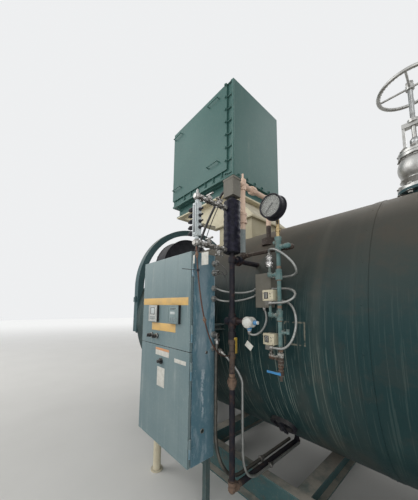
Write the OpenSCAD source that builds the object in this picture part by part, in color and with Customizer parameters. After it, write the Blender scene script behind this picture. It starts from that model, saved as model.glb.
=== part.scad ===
// Packaged firetube steam boiler on a skid, with its burner head, flue gas
// economizer, control cabinet, water column and pressure control manifold.
// X runs along the boiler with the burner end at -X, the cabinet stands on the
// -Y side, and Z = 0 is the underside of the skid.

/* [Shell] */
// Outside diameter of the insulated shell
shell_d = 2100; // [1700:10:2600]
// Length of the shell between its heads
shell_len = 4600; // [4300:50:5400]
// Thickness of plate, insulation and jacket together
shell_wall = 60; // [40:5:90]
// Height of the shell's axis above the floor
axis_z = 1340; // [1340:10:1600]
// Width of a jacket band
band_w = 60; // [30:5:90]
// Thickness of a jacket band
band_t = 3; // [2:0.5:5]
// Distance between two jacket bands
band_pitch = 1830; // [1500:10:2000]
// Place of the middle jacket band along the shell
band_x = 440; // [300:10:500]

/* [Skid] */
// Length of the rails
rail_len = 4700; // [4600:50:5400]
// Height of a rail
rail_h = 255; // [200:5:260]
// Width of a rail's flanges
rail_w = 76; // [60:2:100]
// Thickness of a rail's web and flanges
rail_t = 12; // [8:1:16]
// Distance from the boiler's middle to the outside of a rail
rail_out = 912; // [850:2:940]
// Radius of an anchor bolt hole
anchor_r = 13; // [9:1:16]
// Distance between anchor bolts along the skid
anchor_pitch = 4200; // [3800:50:4300]
// Number of cross beams
beam_count = 5; // [3:1:7]
// Distance between cross beams
beam_pitch = 1010; // [700:10:1100]
// Height of a cross beam
beam_h = 150; // [100:5:180]
// Width of a cross beam
beam_w = 100; // [80:5:140]
// Distance between the two saddles
saddle_pitch = 3300; // [2800:50:3600]
// Width of a saddle's pads along the shell
saddle_w = 220; // [160:10:300]

/* [Front head] */
// Diameter of the front head
head_d = 1880; // [1700:10:1900]
// Length of the front head's barrel
head_len = 125; // [120:5:200]
// Thickness of the front head's door
door_plate_t = 30; // [20:2:50]
// Outside radius of the arched guard
arch_r = 1050; // [1000:10:1100]
// Height of the arch's centre above the shell's axis
arch_rise = 460; // [400:10:520]
// Length of the arch's legs below its centre
arch_leg = 650; // [500:10:700]
// Depth of the arch along the boiler
arch_depth = 110; // [80:5:120]
// Width of the arch's rear flange
arch_flange = 90; // [60:5:90]
// Thickness of the arch's plates
arch_t = 12; // [8:1:16]

/* [Burner and fan] */
// Radius of the burner housing
burner_r = 270; // [220:10:280]
// Length of the burner housing
burner_len = 420; // [300:10:600]
// Radius of the fan housing
fan_r = 545; // [500:5:560]
// Width of the fan housing along the boiler
fan_w = 300; // [240:10:360]
// Height of the fan's axis above the shell's axis
fan_rise = 836; // [830:2:880]
// Radius of the fan motor
motor_r = 160; // [120:5:200]
// Length of the fan motor
motor_len = 360; // [280:10:420]

/* [Rear head] */
// Thickness of the rear door
rear_len = 200; // [150:10:300]
// Radius of the rear door's barrel
rear_r = 1000; // [900:10:1030]

/* [Flue] */
// Size of the flue outlet along the boiler
flue_l = 610; // [500:10:700]
// Size of the flue outlet across the boiler
flue_w = 900; // [700:10:920]
// Height of the flue outlet's top above the shell
flue_h = 170; // [120:10:240]
// Place of the flue outlet's middle along the boiler
flue_x = -1005; // [-1300:5:-900]

/* [Economizer] */
// Length of the economizer along the boiler
eco_l = 1370; // [1200:10:1500]
// Width of the economizer across the boiler
eco_w = 1010; // [900:10:1200]
// Height of the economizer
eco_h = 1330; // [1100:10:1500]
// Height of the economizer's underside above the floor
eco_z = 3140; // [3100:10:3400]
// Place of the economizer's middle along the boiler
eco_x = -1625; // [-1700:5:-1500]
// Thickness of the access panel
panel_t = 25; // [15:1:40]
// Width of the bolted strips beside and below the access panel
strip_w = 115; // [90:5:140]
// Height of the base frame under the economizer
frame_h = 160; // [120:5:200]
// Width of a base frame channel's flanges
frame_flange = 60; // [50:2:80]
// How far the base frame stays behind the casing's sides
frame_inset = 55; // [40:5:80]
// Radius of the stack collar
collar_r = 300; // [250:10:400]
// Height of the stack collar
collar_h = 120; // [80:10:200]
// Length of a pull handle
handle_l = 215; // [150:5:260]
// How far a pull handle stands out
handle_out = 45; // [35:1:60]

/* [Control cabinet] */
// Width of the cabinet
cab_w = 755; // [600:5:900]
// Height of the cabinet
cab_h = 1505; // [1200:5:1700]
// Depth of the cabinet's body without its doors
cab_d = 212; // [180:2:300]
// Thickness of the cabinet's sheets
cab_t = 4; // [3:0.5:6]
// Height of the cabinet's underside above the floor
cab_z = 413; // [300:1:500]
// Place of the cabinet's middle along the boiler
cab_x = -863; // [-1000:1:-850]
// Distance from the shell's side to the cabinet's back
cab_gap = 170; // [150:5:260]
// Height of the line between the two doors above the cabinet's underside
door_split = 768; // [600:2:850]
// Thickness of a door
door_t = 22; // [18:1:30]
// Clearance between a door and the cabinet
door_gap = 5; // [4:0.5:8]
// Clearance between the two doors, and between a door's edge and its hinges
door_edge = 6; // [3:0.5:8]
// Radius of a hinge pin
pin_r = 4; // [3:0.5:6]
// Running clearance of a hinge pin
pin_fit = 0.05; // [0.02:0.01:0.1]
// Length of a hinge knuckle
knuckle_l = 60; // [40:2:90]
// Height of the lower door's latch above the cabinet's underside
latch_rise = 644; // [600:2:700]
// Side of an instrument on the upper door
module_w = 144; // [96:2:160]

/* [Water column] */
// Place of the column's axis along the boiler
col_x = -297; // [-330:1:-250]
// Distance from the shell's side to the column's axis
col_gap = 172; // [160:1:200]
// Radius of the column
col_r = 61; // [50:1:75]
// Length of the column
col_l = 410; // [360:5:460]
// Height of the column's lower end above the floor
col_z = 1903; // [1850:1:1950]
// Distance from the column's axis to the gauge glass
glass_off = 340; // [310:2:380]
// Distance between the two gauge valves
glass_pitch = 318; // [300:2:380]
// Radius of the black and brown column piping
col_pipe_r = 20; // [15:1:24]
// Radius of the steam equalizing pipe
steam_pipe_r = 21; // [15:1:26]
// Distance from the column's axis back to the steam equalizing pipe
steam_off = 128; // [110:1:140]
// Height of the steam equalizing pipe's top run above the column's lower end
steam_rise = 592; // [540:2:640]
// Height of the steam pipe's valve above the sensing line
steam_valve_rise = 266; // [240:2:300]
// Height of the column's lower nipple below the column's lower end
nipple_drop = 45; // [35:1:60]
// Height of the cross below the column's lower end
cross_drop = 498; // [460:2:540]
// Height of the drain valve below the column's lower end
drain_valve_drop = 623; // [600:1:650]
// Height of the tee under the drain valve below the column's lower end
drain_tee_drop = 738; // [720:1:780]
// Height of the union below the column's lower end
union_drop = 923; // [880:2:960]
// Height of the drain run above the floor
drain_run_z = 292; // [280:1:320]

/* [Pressure controls] */
// Place of the manifold's axis along the boiler
man_x = 40; // [10:1:60]
// Distance from the shell's side to the manifold's axis
man_gap = 85; // [75:1:95]
// Radius of the manifold pipe
man_r = 13.5; // [10:0.5:17]
// Height of the manifold's lower end above the floor
man_z = 1158; // [1100:1:1200]
// Length of the manifold pipe
man_l = 777; // [700:1:850]
// Diameter of the pressure gauge
gauge_d = 155; // [120:5:180]
// Width of a pressure control's box
control_w = 80; // [60:2:90]
// Height of a pressure control's box
control_h = 72; // [60:2:90]
// Distance from the column's axis to the transmitter's dial along the boiler
dial_out = 162; // [140:1:190]
// Distance from the manifold's axis to its side elbows
elbow_out = 70; // [60:1:80]
// Height of the pressure gauge's middle above the manifold's top
gauge_rise = 233; // [200:1:260]
// Width of the junction box
jbox_w = 125; // [100:5:150]
// Height of the junction box
jbox_h = 240; // [180:10:260]

/* [Conduits] */
// Radius of a wiring conduit
wire_r = 8; // [6:0.5:10]
// Radius of the large drop conduit
drop_r = 13; // [10:0.5:16]
// Radius of the small drop conduit
small_drop_r = 10; // [8:0.5:12]
// Height of the drop conduits' run above the floor
drop_run_z = 310; // [300:1:340]

/* [Steam outlet] */
// Place of the steam nozzle along the boiler
steam_x = 660; // [600:5:900]
// Radius of the steam nozzle
steam_r = 84; // [60:1:110]
// Radius of the steam flanges
flange_r = 140; // [120:5:180]
// Thickness of the steam flanges
flange_t = 24; // [16:1:30]
// Radius of the bolt circle of the steam flanges
flange_pcr = 120; // [100:1:150]
// Radius of a flange bolt hole
flange_hole_r = 9; // [6:0.5:12]
// Height of the handwheel above the shell
wheel_rise = 1020; // [900:10:1100]
// Radius of the handwheel
wheel_r = 235; // [180:5:260]

/* [Hidden] */
$fn = 48;
big_fn = 360;

teal = [0.20, 0.40, 0.40];
teal_pale = [0.42, 0.55, 0.56];
taupe = [0.40, 0.38, 0.34];
khaki = [0.62, 0.57, 0.42];
cream = [0.80, 0.76, 0.62];
black_iron = [0.10, 0.10, 0.11];
brown_iron = [0.30, 0.22, 0.18];
peach = [0.82, 0.62, 0.50];
steel = [0.68, 0.69, 0.70];
olive = [0.42, 0.44, 0.38];

// Overlap of solids that are one piece, and clearance between seated pieces
e = 0.01;
seat = 0.3;

// Shell and heads
shell_r = shell_d / 2;
front_x = -shell_len / 2;
rear_x = shell_len / 2;
head_r = head_d / 2;
head_front = front_x - head_len - door_plate_t;
door_r = head_r + 45;
tube_sheet_t = 20;
front_band_x = max(band_x - band_pitch, (saddle_w - saddle_pitch) / 2 + band_w);
burner_flange = 12;
fan_rim = 8;
fan_z = axis_z + max(fan_rise, burner_r + burner_flange + fan_r + fan_rim + 1);
fan_front = head_front - fan_w;
saddle_half = rail_out - rail_w / 2;

// Economizer
eco_front = eco_x - eco_l / 2;
eco_rear = eco_x + eco_l / 2;
frame_l = eco_l - 2 * frame_inset;
frame_w = eco_w - 2 * frame_inset;
frame_z = eco_z - frame_h;
flue_top = axis_z + shell_r + flue_h;

// Cabinet
cab_back = -shell_r - cab_gap;
cab_front = cab_back - cab_d;
cab_top = cab_z + cab_h;
cab_left = cab_x - cab_w / 2;
cab_right = cab_x + cab_w / 2;
door_inner = cab_front - door_gap;
door_outer = door_inner - door_t;
door_fold = 3;
split_z = cab_z + door_split;
hinge_end = 130;
hinge_zs = [cab_z + hinge_end, split_z - hinge_end, split_z + hinge_end, cab_top - hinge_end];
knuckle_r = pin_r + 4;
hinge_x = cab_right + knuckle_r;
hinge_y = door_inner - door_t / 2;
gland_y = cab_back - 16;
gland_out = 20;
gland_zs = [for (share = [0.823, 0.769, 0.585, 0.518]) cab_z + share * cab_h];
spare_zs = [for (share = [0.955, 0.905]) cab_z + share * cab_h];
top_gland = [cab_right - 130, cab_back - 70, cab_top];

// Water column
col_y = -shell_r - col_gap;
col_top = col_z + col_l;
glass_y = col_y - glass_off;
glass_bottom = col_z + 18;
glass_top = glass_bottom + glass_pitch;
eq_y = col_y + steam_off;
neck_h = 32;
head_w = 110;
head_h = 150;
switch_hub = [col_x - head_w / 2 - 14, col_y, col_top + neck_h + 0.56 * head_h];
nipple_r = 15;
cross_z = col_z - cross_drop;
drain_tee_z = col_z - drain_tee_drop;
drain_tee_r = 26;
drain_body_r = 28;
tube_r = 5;

// Pressure controls
man_y = -shell_r - man_gap;
man_top = man_z + man_l;
sense_z = man_top - 30;
sense_out = 18;
branch_zs = [for (share = [0.036, 0.382, 0.727]) man_z + share * man_l];
control_x = man_x - elbow_out;
control_zs = [for (share = [0.138, 0.505]) man_z + share * man_l];
foot_h = 30;
foot_w = 30;
sensor_z = man_z + 0.798 * man_l;
sensor_h = 86;
gauge_z = man_top + gauge_rise;
jbox_d = 160;
jbox_out = 30;
jbox = [col_x + 112, -shell_r - jbox_out, man_z + 0.45 * man_l];
dial_r = 36;
dial_x = col_x + dial_out;
dial_y = col_y - 5;
dial_foot_z = cross_z - 60;

// Steam outlet
nozzle_h = 66;
valve_z = axis_z + shell_r + nozzle_h + flange_t;
body_rise = 200;
wheel_z = axis_z + shell_r + wheel_rise;
stem_r = 16;

// Height of the shell's lower or upper surface at a distance y from its middle
function shell_dz(y) = sqrt(shell_r * shell_r - y * y);

module along_x(x, y, z) { translate([x, y, z]) rotate([0, 90, 0]) children(); }
module along_y(x, y, z) { translate([x, y, z]) rotate([-90, 0, 0]) children(); }

// Channel of a given length along X, its back at y = 0 and its flanges towards +Y
module channel(l, h, w, t) {
    translate([-l / 2, 0, 0]) {
        cube([l, t, h]);
        cube([l, w, t]);
        translate([0, 0, h - t]) cube([l, w, t]);
    }
}

// Block with a given middle in X and Y, standing on z
module block(x, y, z, size) { translate([x - size[0] / 2, y - size[1] / 2, z]) cube(size); }

// Slot shape with round ends, standing on z = 0 and long in X
module stadium(l, r, h) {
    for (s = [-1, 1]) translate([s * (l / 2 - r), 0, 0]) cylinder(h = h, r = r);
    translate([-l / 2 + r, -r, 0]) cube([l - 2 * r, 2 * r, h]);
}

// Flat ring around the Z axis
module ring(r_out, r_in, h) {
    difference() {
        cylinder(h = h, r = r_out, $fn = big_fn);
        translate([0, 0, -1]) cylinder(h = h + 2, r = r_in, $fn = big_fn);
    }
}

// Solid cylinder around the shell's axis, to cut what is fitted against the shell
module shell_form(r = shell_r) {
    along_x(-shell_len, 0, axis_z) cylinder(h = 2 * shell_len, r = r, $fn = big_fn);
}

// Points along a curve with the control points c
function curve_point(c, t) = pow(1 - t, 3) * c[0] + 3 * pow(1 - t, 2) * t * c[1]
    + 3 * (1 - t) * t * t * c[2] + pow(t, 3) * c[3];
function curve(c, steps = 12) = [for (i = [0 : steps]) curve_point(c, i / steps)];
function unit(v) = v / norm(v);

// Conduit that leaves a in the direction d, comes to b from the direction f and hangs off by sag between
function hose(a, d, b, f, sag = [0, 0, 0], lead = 12) = concat([a],
    curve([a + lead * unit(d), a + d + sag, b + f + sag, b + lead * unit(f)]), [b]);

// Round tube along a list of points that never runs along the direction side
module tube(path, r, side, sides = 8) {
    last = len(path) - 1;
    rings = [for (i = [0 : last])
        let (d = unit(path[min(i + 1, last)] - path[max(i - 1, 0)]),
            u = unit(cross(d, side)), v = cross(d, u))
        for (k = [0 : sides - 1]) path[i] + r * (cos(k * 360 / sides) * u + sin(k * 360 / sides) * v)];
    walls = [for (i = [0 : last - 1], k = [0 : sides - 1])
        [i * sides + k, (i + 1) * sides + k, (i + 1) * sides + (k + 1) % sides, i * sides + (k + 1) % sides]];
    polyhedron(rings, concat([[for (k = [0 : sides - 1]) k]], walls,
        [[for (k = [0 : sides - 1]) (last + 1) * sides - 1 - k]]));
}

module skid_rail() {
    difference() {
        translate([0, -rail_out + rail_w, 0]) mirror([0, 1, 0]) channel(rail_len, rail_h, rail_w, rail_t);
        for (s = [-1, 1]) translate([s * anchor_pitch / 2, -rail_out + rail_w / 2 - rail_t / 2, -1])
            cylinder(h = rail_t + 2, r = anchor_r);
    }
}

module skid_rails() { color(teal) for (s = [0, 1]) mirror([0, s, 0]) skid_rail(); }

module skid_cross_beams() {
    span = 2 * (rail_out - rail_w);
    color(teal) for (i = [0 : beam_count - 1])
        translate([(i - (beam_count - 1) / 2) * beam_pitch, 0, rail_h - beam_h - rail_t]) {
            block(0, 0, 0, [rail_t, span, beam_h]);
            for (z = [0, beam_h - rail_t]) block(0, 0, z, [beam_w, span, rail_t]);
        }
}

module saddle(x) {
    top = axis_z - shell_dz(saddle_half);
    pad_r = shell_r + rail_t;
    color(teal) translate([x, 0, 0]) {
        difference() {
            union() {
                block(0, 0, rail_h, [rail_t, 2 * saddle_half, top - rail_h]);
                for (y = [-saddle_half, -saddle_half / 2, saddle_half / 2 - rail_t, saddle_half - rail_t])
                    translate([-saddle_w / 2, y, rail_h]) cube([saddle_w, rail_t, top - rail_h]);
            }
            translate([-x, 0, 0]) shell_form(pad_r);
        }
        intersection() {
            along_x(-saddle_w / 2, 0, axis_z) ring(pad_r, shell_r, saddle_w);
            block(0, 0, rail_h, [2 * saddle_w, 2 * saddle_half, top - rail_h]);
        }
        for (s = [-1, 1]) block(0, s * (saddle_half - rail_w / 2), rail_h, [saddle_w, rail_w, rail_t]);
    }
}

module saddles() { for (s = [-1, 1]) saddle(s * saddle_pitch / 2); }

module boiler_shell() {
    color(taupe) along_x(front_x, 0, axis_z) ring(shell_r, shell_r - shell_wall, shell_len);
}

module jacket_bands() {
    color(taupe) difference() {
        for (x = [front_band_x, band_x, rear_x - band_w])
            along_x(x, 0, axis_z) ring(shell_r + band_t, shell_r, band_w);
        block(flue_x, 0, axis_z, [flue_l + 2, flue_w + 2, 2 * shell_r]);
    }
}

module front_head() {
    lug_count = 16;
    lug_w = 50;
    lug_l = 60;
    step_r = head_r - 140;
    color(teal) {
        along_x(front_x, 0, axis_z) cylinder(h = tube_sheet_t, r = shell_r - shell_wall, $fn = big_fn);
        along_x(front_x - head_len, 0, axis_z) cylinder(h = head_len + e, r = head_r, $fn = big_fn);
        along_x(head_front + door_plate_t / 2, 0, axis_z)
            cylinder(h = door_plate_t / 2, r = door_r, $fn = big_fn);
        along_x(head_front, 0, axis_z) cylinder(h = door_plate_t, r = step_r, $fn = big_fn);
        for (i = [0 : lug_count - 1]) translate([0, 0, axis_z]) rotate([(i + 0.5) * 360 / lug_count, 0, 0])
            translate([head_front, -lug_w / 2, head_r - 10]) cube([door_plate_t + 12, lug_w, lug_l]);
    }
}

// Solid under the arch's outline, r wide on each side of its middle
module arch_form(r, depth, drop) {
    difference() {
        along_x(0, 0, axis_z + arch_rise) cylinder(h = depth, r = r, $fn = big_fn);
        translate([-1, -r - 1, axis_z + arch_rise - r - 1]) cube([depth + 2, 2 * r + 2, r + 1]);
    }
    translate([0, -r, axis_z + arch_rise - drop]) cube([depth, 2 * r, drop + e]);
}

module front_arch() {
    foot_l = 70;
    bracket_h = 70;
    bracket_out = 24;
    color(teal) translate([front_x - arch_depth, 0, 0]) {
        difference() {
            arch_form(arch_r, arch_depth, arch_leg);
            translate([-1, 0, 0]) arch_form(arch_r - arch_t, arch_depth + 2, arch_leg + 1);
        }
        translate([arch_depth - arch_t, 0, 0]) difference() {
            arch_form(arch_r - arch_t, arch_t, arch_leg);
            translate([-1, 0, 0]) arch_form(arch_r - arch_flange, arch_t + 2, arch_leg + 1);
        }
        for (s = [-1, 1]) {
            block(arch_depth / 2, s * (arch_r - foot_l / 2), axis_z + arch_rise - arch_leg,
                [arch_depth, foot_l, arch_t]);
            block(arch_depth / 2, s * (arch_r + bracket_out / 2 - e), axis_z + arch_rise / 2,
                [arch_depth / 2, bracket_out, bracket_h]);
        }
    }
}

module burner_housing() {
    plate_t = 20;
    nozzle_r = 0.4 * burner_r;
    color(teal) along_x(head_front, 0, axis_z) mirror([0, 0, 1]) {
        cylinder(h = burner_len, r = burner_r, $fn = big_fn);
        for (z = [0, fan_w + 2 * burner_flange, burner_len]) translate([0, 0, z])
            cylinder(h = plate_t, r = burner_r + burner_flange, $fn = big_fn);
        translate([0, 0, burner_len + plate_t])
            cylinder(h = 2 * plate_t, r1 = burner_r - plate_t, r2 = nozzle_r, $fn = big_fn);
        translate([0, 0, burner_len + 3 * plate_t]) cylinder(h = 2 * plate_t, r = nozzle_r / 2);
        for (a = [45, 135]) rotate([0, 0, a]) translate([nozzle_r * 1.6, 0, burner_len])
            cylinder(h = 4 * plate_t, r = plate_t);
    }
}

module fan_housing() {
    rim_t = 10;
    shroud_t = 14;
    inlet_r = motor_r + 100;
    rib_t = 10;
    rib_h = 24;
    rib_count = 8;
    neck_w = 240;
    neck_side = 40;
    bottom = axis_z + sqrt(burner_r * burner_r - neck_w * neck_w / 4);
    color(black_iron) {
        along_x(head_front, 0, fan_z) mirror([0, 0, 1]) {
            cylinder(h = fan_w, r = fan_r, $fn = big_fn);
            for (z = [rim_t, fan_w - rim_t]) translate([0, 0, z - rim_t / 2])
                cylinder(h = rim_t, r = fan_r + fan_rim, $fn = big_fn);
            translate([0, 0, fan_w - e]) ring(inlet_r, inlet_r - shroud_t, 2 * rib_h);
            for (i = [0 : rib_count - 1]) rotate([0, 0, (i + 0.5) * 360 / rib_count])
                translate([inlet_r - shroud_t / 2, -rib_t / 2, fan_w - e])
                    cube([fan_r - inlet_r - shroud_t, rib_t, rib_h]);
        }
        difference() {
            block(head_front - fan_w / 2, 0, bottom,
                [fan_w - 2 * neck_side, neck_w, fan_z - fan_r + neck_side - bottom]);
            along_x(fan_front, 0, axis_z) cylinder(h = fan_w, r = burner_r, $fn = big_fn);
        }
    }
}

module fan_motor() {
    flange_h = 30;
    fin_count = 20;
    fin_t = 6;
    fin_out = 14;
    cowl_h = 70;
    box_w = 130;
    box_h = 150;
    color(teal_pale) along_x(fan_front, 0, fan_z) mirror([0, 0, 1]) {
        cylinder(h = flange_h, r = motor_r + 30);
        cylinder(h = motor_len - cowl_h, r = motor_r - fin_out);
        translate([0, 0, motor_len - cowl_h]) cylinder(h = cowl_h - 15, r = motor_r);
        translate([0, 0, motor_len - 15]) cylinder(h = 15, r1 = motor_r, r2 = motor_r - 15);
        for (i = [0 : fin_count - 1]) rotate([0, 0, i * 360 / fin_count])
            translate([motor_r - 2 * fin_out, -fin_t / 2, flange_h])
                cube([2 * fin_out - e, fin_t, motor_len - cowl_h - flange_h]);
        rotate([0, 0, -90]) translate([motor_r - fin_out - 5, -box_w / 2, 2 * flange_h])
            cube([60, box_w, box_h]);
    }
}

module rear_door() {
    flange_h = 30;
    barrel_h = 0.7 * rear_len;
    crown_r = rear_r - 110;
    hinge_w = 140;
    port_r = 90;
    color(teal) {
        along_x(rear_x, 0, axis_z) {
            cylinder(h = flange_h, r = shell_r, $fn = big_fn);
            cylinder(h = barrel_h, r = rear_r, $fn = big_fn);
            translate([0, 0, barrel_h])
                cylinder(h = rear_len - barrel_h, r1 = rear_r, r2 = crown_r, $fn = big_fn);
            translate([0, 0, rear_len]) ring(port_r, port_r - 35, 40);
        }
        for (z = [axis_z - rear_r / 2, axis_z + rear_r / 2]) difference() {
            translate([rear_x + flange_h, 0, z - hinge_w / 2])
                cube([barrel_h - flange_h, shell_r - 110, hinge_w]);
            shell_form(rear_r - 60);
        }
    }
}

module flue_outlet() {
    lip = 40;
    lip_t = 15;
    collar_t = 25;
    color(khaki) {
        difference() {
            block(flue_x, 0, axis_z, [flue_l - 2 * lip, flue_w - 2 * lip, flue_top - axis_z]);
            shell_form();
        }
        intersection() {
            along_x(flue_x - flue_l / 2, 0, axis_z) ring(shell_r + collar_t, shell_r, flue_l);
            block(flue_x, 0, axis_z, [flue_l, flue_w, flue_top - axis_z]);
        }
        block(flue_x, 0, flue_top - lip_t, [flue_l, flue_w, lip_t]);
    }
}

module flue_transition() {
    plate = 20;
    margin = 30;
    low_l = flue_l - 40;
    low_w = flue_w - 200;
    high_l = frame_l - 2 * frame_flange - 2 * margin;
    high_w = frame_w - 2 * frame_flange - 2 * margin;
    color(cream) {
        block(flue_x, 0, flue_top, [flue_l, flue_w, plate]);
        hull() {
            block(flue_x, 0, flue_top + plate - e, [low_l, low_w, e]);
            block(eco_x, 0, frame_z - plate, [high_l, high_w, e]);
        }
        block(eco_x, 0, frame_z - plate, [frame_l, frame_w, plate]);
    }
}

module economizer_frame() {
    t = 10;
    color(teal) translate([eco_x, 0, frame_z]) {
        for (s = [0, 1]) mirror([0, s, 0]) translate([0, -frame_w / 2 + frame_flange, 0])
            mirror([0, 1, 0]) channel(frame_l, frame_h, frame_flange, t);
        for (s = [0, 1]) mirror([s, 0, 0]) translate([-frame_l / 2 + frame_flange, 0, 0])
            rotate([0, 0, 90]) channel(frame_w - 2 * frame_flange, frame_h, frame_flange, t);
    }
}

module economizer_casing() {
    color(teal) translate([eco_front, -eco_w / 2 + panel_t, eco_z]) cube([eco_l, eco_w - panel_t, eco_h]);
}

module access_panel() {
    color(teal) translate([eco_front, -eco_w / 2, eco_z + strip_w])
        cube([eco_l - strip_w, panel_t, eco_h - strip_w]);
}

module panel_handles() {
    r = 6;
    side_in = 140;
    foot_rise = 170;
    color(teal) for (x = [eco_front + side_in, eco_rear - strip_w - side_in - handle_l / 2],
        z = [eco_z + strip_w + foot_rise, eco_z + eco_h - strip_w]) translate([x, -eco_w / 2, z]) {
            for (s = [-1, 1]) along_y(s * (handle_l / 2 - r), -handle_out + r, 0)
                cylinder(h = handle_out - r, r = r);
            along_x(-handle_l / 2, -handle_out + r, 0) cylinder(h = handle_l, r = r);
        }
}

module stack_collar() {
    wall = 6;
    lip = 45;
    color(steel) translate([eco_x, 0, eco_z + eco_h]) {
        ring(collar_r, collar_r - wall, collar_h);
        ring(collar_r + lip, collar_r - wall, wall + 2);
        translate([0, 0, collar_h - 2 * wall]) ring(collar_r + wall, collar_r - wall, wall);
    }
}

module cabinet_body() {
    split_t = 15;
    lip_out = 12;
    color(teal_pale) {
        translate([cab_left, cab_front, cab_z]) difference() {
            cube([cab_w, cab_d, cab_h]);
            translate([cab_t, -1, cab_t])
                cube([cab_w - 2 * cab_t, cab_d - cab_t + 1, door_split - split_t - cab_t]);
            translate([cab_t, -1, door_split + split_t])
                cube([cab_w - 2 * cab_t, cab_d - cab_t + 1, cab_h - door_split - split_t - cab_t]);
        }
        translate([cab_left, cab_back - e, cab_top - 2 * lip_out]) cube([cab_w, lip_out / 4, 2 * lip_out]);
    }
}

module cabinet_glands() {
    nut_h = 8;
    color(steel) {
        for (i = [0 : 3]) along_x(cab_right, gland_y, gland_zs[i]) {
            cylinder(h = nut_h, r = i < 2 ? 14 : 16, $fn = 6);
            cylinder(h = gland_out, r = i < 2 ? 11 : 15);
        }
        for (z = spare_zs) along_x(cab_right, gland_y, z) {
            cylinder(h = nut_h, r = 14, $fn = 6);
            cylinder(h = 2 * gland_out, r = 10);
            translate([0, 0, 2 * gland_out]) cylinder(h = nut_h, r = 13, $fn = 6);
        }
        translate(top_gland) {
            cylinder(h = nut_h, r = 16, $fn = 6);
            cylinder(h = gland_out, r = 13);
        }
    }
}

module cabinet_hinge_pins() {
    leaf_l = 30;
    color(steel) for (z = hinge_zs) {
        translate([hinge_x, hinge_y, z - knuckle_l]) cylinder(h = 2 * knuckle_l, r = pin_r);
        translate([hinge_x, hinge_y, z - knuckle_l - 1]) cylinder(h = knuckle_l, r = knuckle_r);
        translate([cab_right, hinge_y, z - knuckle_l - 1])
            cube([door_fold, cab_front - hinge_y + leaf_l, knuckle_l]);
    }
}

// Formed door sheet between two heights, open at its back
module door_sheet(z0, z1) {
    width = cab_w - door_edge / 2;
    translate([cab_left, door_outer, z0]) difference() {
        cube([width, door_t, z1 - z0]);
        translate([door_fold, door_fold, door_fold])
            cube([width - 2 * door_fold, door_t, z1 - z0 - 2 * door_fold]);
    }
}

module door_knuckles(zs) {
    for (z = zs) difference() {
        union() {
            translate([hinge_x, hinge_y, z]) cylinder(h = knuckle_l, r = knuckle_r);
            translate([cab_right - door_edge / 2, hinge_y - door_fold, z])
                cube([door_edge / 2 + door_fold, door_fold, knuckle_l]);
        }
        translate([hinge_x, hinge_y, z - 1]) cylinder(h = knuckle_l + 2, r = pin_r + pin_fit);
    }
}

module upper_door() {
    color(teal_pale) {
        door_sheet(split_z + door_edge / 2, cab_top);
        door_knuckles([hinge_zs[2], hinge_zs[3]]);
    }
}

module lower_door() {
    color(teal_pale) {
        door_sheet(cab_z, split_z - door_edge / 2);
        door_knuckles([hinge_zs[0], hinge_zs[1]]);
    }
}

module door_instruments() {
    module_out = 20;
    rim = 10;
    module_z = split_z + 192;
    knob_z = split_z + 73;
    color("gray") {
        for (x = [cab_x - 147, cab_x + 183]) {
            block(x, door_outer - rim / 2, module_z, [module_w, rim, module_w]);
            block(x, door_outer - module_out / 2, module_z + rim,
                [module_w - 2 * rim, module_out, module_w - 2 * rim]);
        }
        for (x = [cab_x - 182, cab_x - 91]) {
            along_y(x, door_outer - rim, knob_z) cylinder(h = rim, r = 22);
            along_y(x, door_outer - 35, knob_z) cylinder(h = 35, r = 16);
        }
    }
}

module door_latch() {
    latch_x = cab_x - 10;
    latch_z = cab_z + latch_rise;
    color(black_iron) {
        along_y(latch_x, door_outer - 12, latch_z) cylinder(h = 12, r = 24);
        along_y(latch_x, door_outer - 30, latch_z) cylinder(h = 30, r = 12);
        block(latch_x, door_outer - 25, latch_z - 9, [50, 10, 18]);
    }
}

module cabinet_stand() {
    post_r = 35;
    post_y = cab_back - 61;
    plate_t = 10;
    leg_w = 40;
    arm_w = 50;
    arm_in = 60;
    color(cream) {
        translate([cab_left + post_r + plate_t, post_y, 0]) {
            cylinder(h = cab_z, r = post_r);
            cylinder(h = plate_t, r = post_r + 2 * plate_t);
            translate([0, 0, cab_z - plate_t]) cylinder(h = plate_t, r = post_r + plate_t);
        }
        block(cab_right - arm_w, cab_back - leg_w / 2 - 5, 0, [leg_w, leg_w, cab_z]);
        block(cab_right - arm_w, cab_back - leg_w / 2 - 5, 0, [2 * leg_w, 2 * leg_w, plate_t]);
        for (x = [cab_left + arm_in, cab_right - arm_in - arm_w]) {
            translate([x, cab_back, axis_z - arm_w / 2]) cube([arm_w, cab_gap, plate_t]);
            translate([x, cab_back, axis_z + arm_w / 2 - plate_t]) cube([arm_w, cab_gap, plate_t]);
            translate([x, cab_back, axis_z - arm_w / 2]) cube([plate_t, cab_gap, arm_w]);
        }
    }
}

module disconnect_switch() {
    box_w = 70;
    box_d = 120;
    box_h = 385;
    box_z = cab_z + 240;
    hub_z = box_z + box_h / 2;
    lid_t = 12;
    lid_out = 6;
    color(black_iron) {
        translate([cab_left - box_w, cab_front + 20, box_z]) cube([box_w, box_d, box_h]);
        translate([cab_left - box_w, cab_front + 20 - lid_out, box_z - lid_out])
            cube([lid_t, box_d + 2 * lid_out, box_h + 2 * lid_out]);
        along_x(cab_left - box_w - 40, cab_front + 60, hub_z) cylinder(h = 40, r = 18);
        translate([cab_left - box_w - 40, cab_front + 45, hub_z]) cube([16, 30, box_h / 2 - 10]);
        translate([cab_left - box_w / 2, cab_front + 20 + box_d / 2, box_z - 24]) cylinder(h = 24, r = 22);
    }
}

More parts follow.
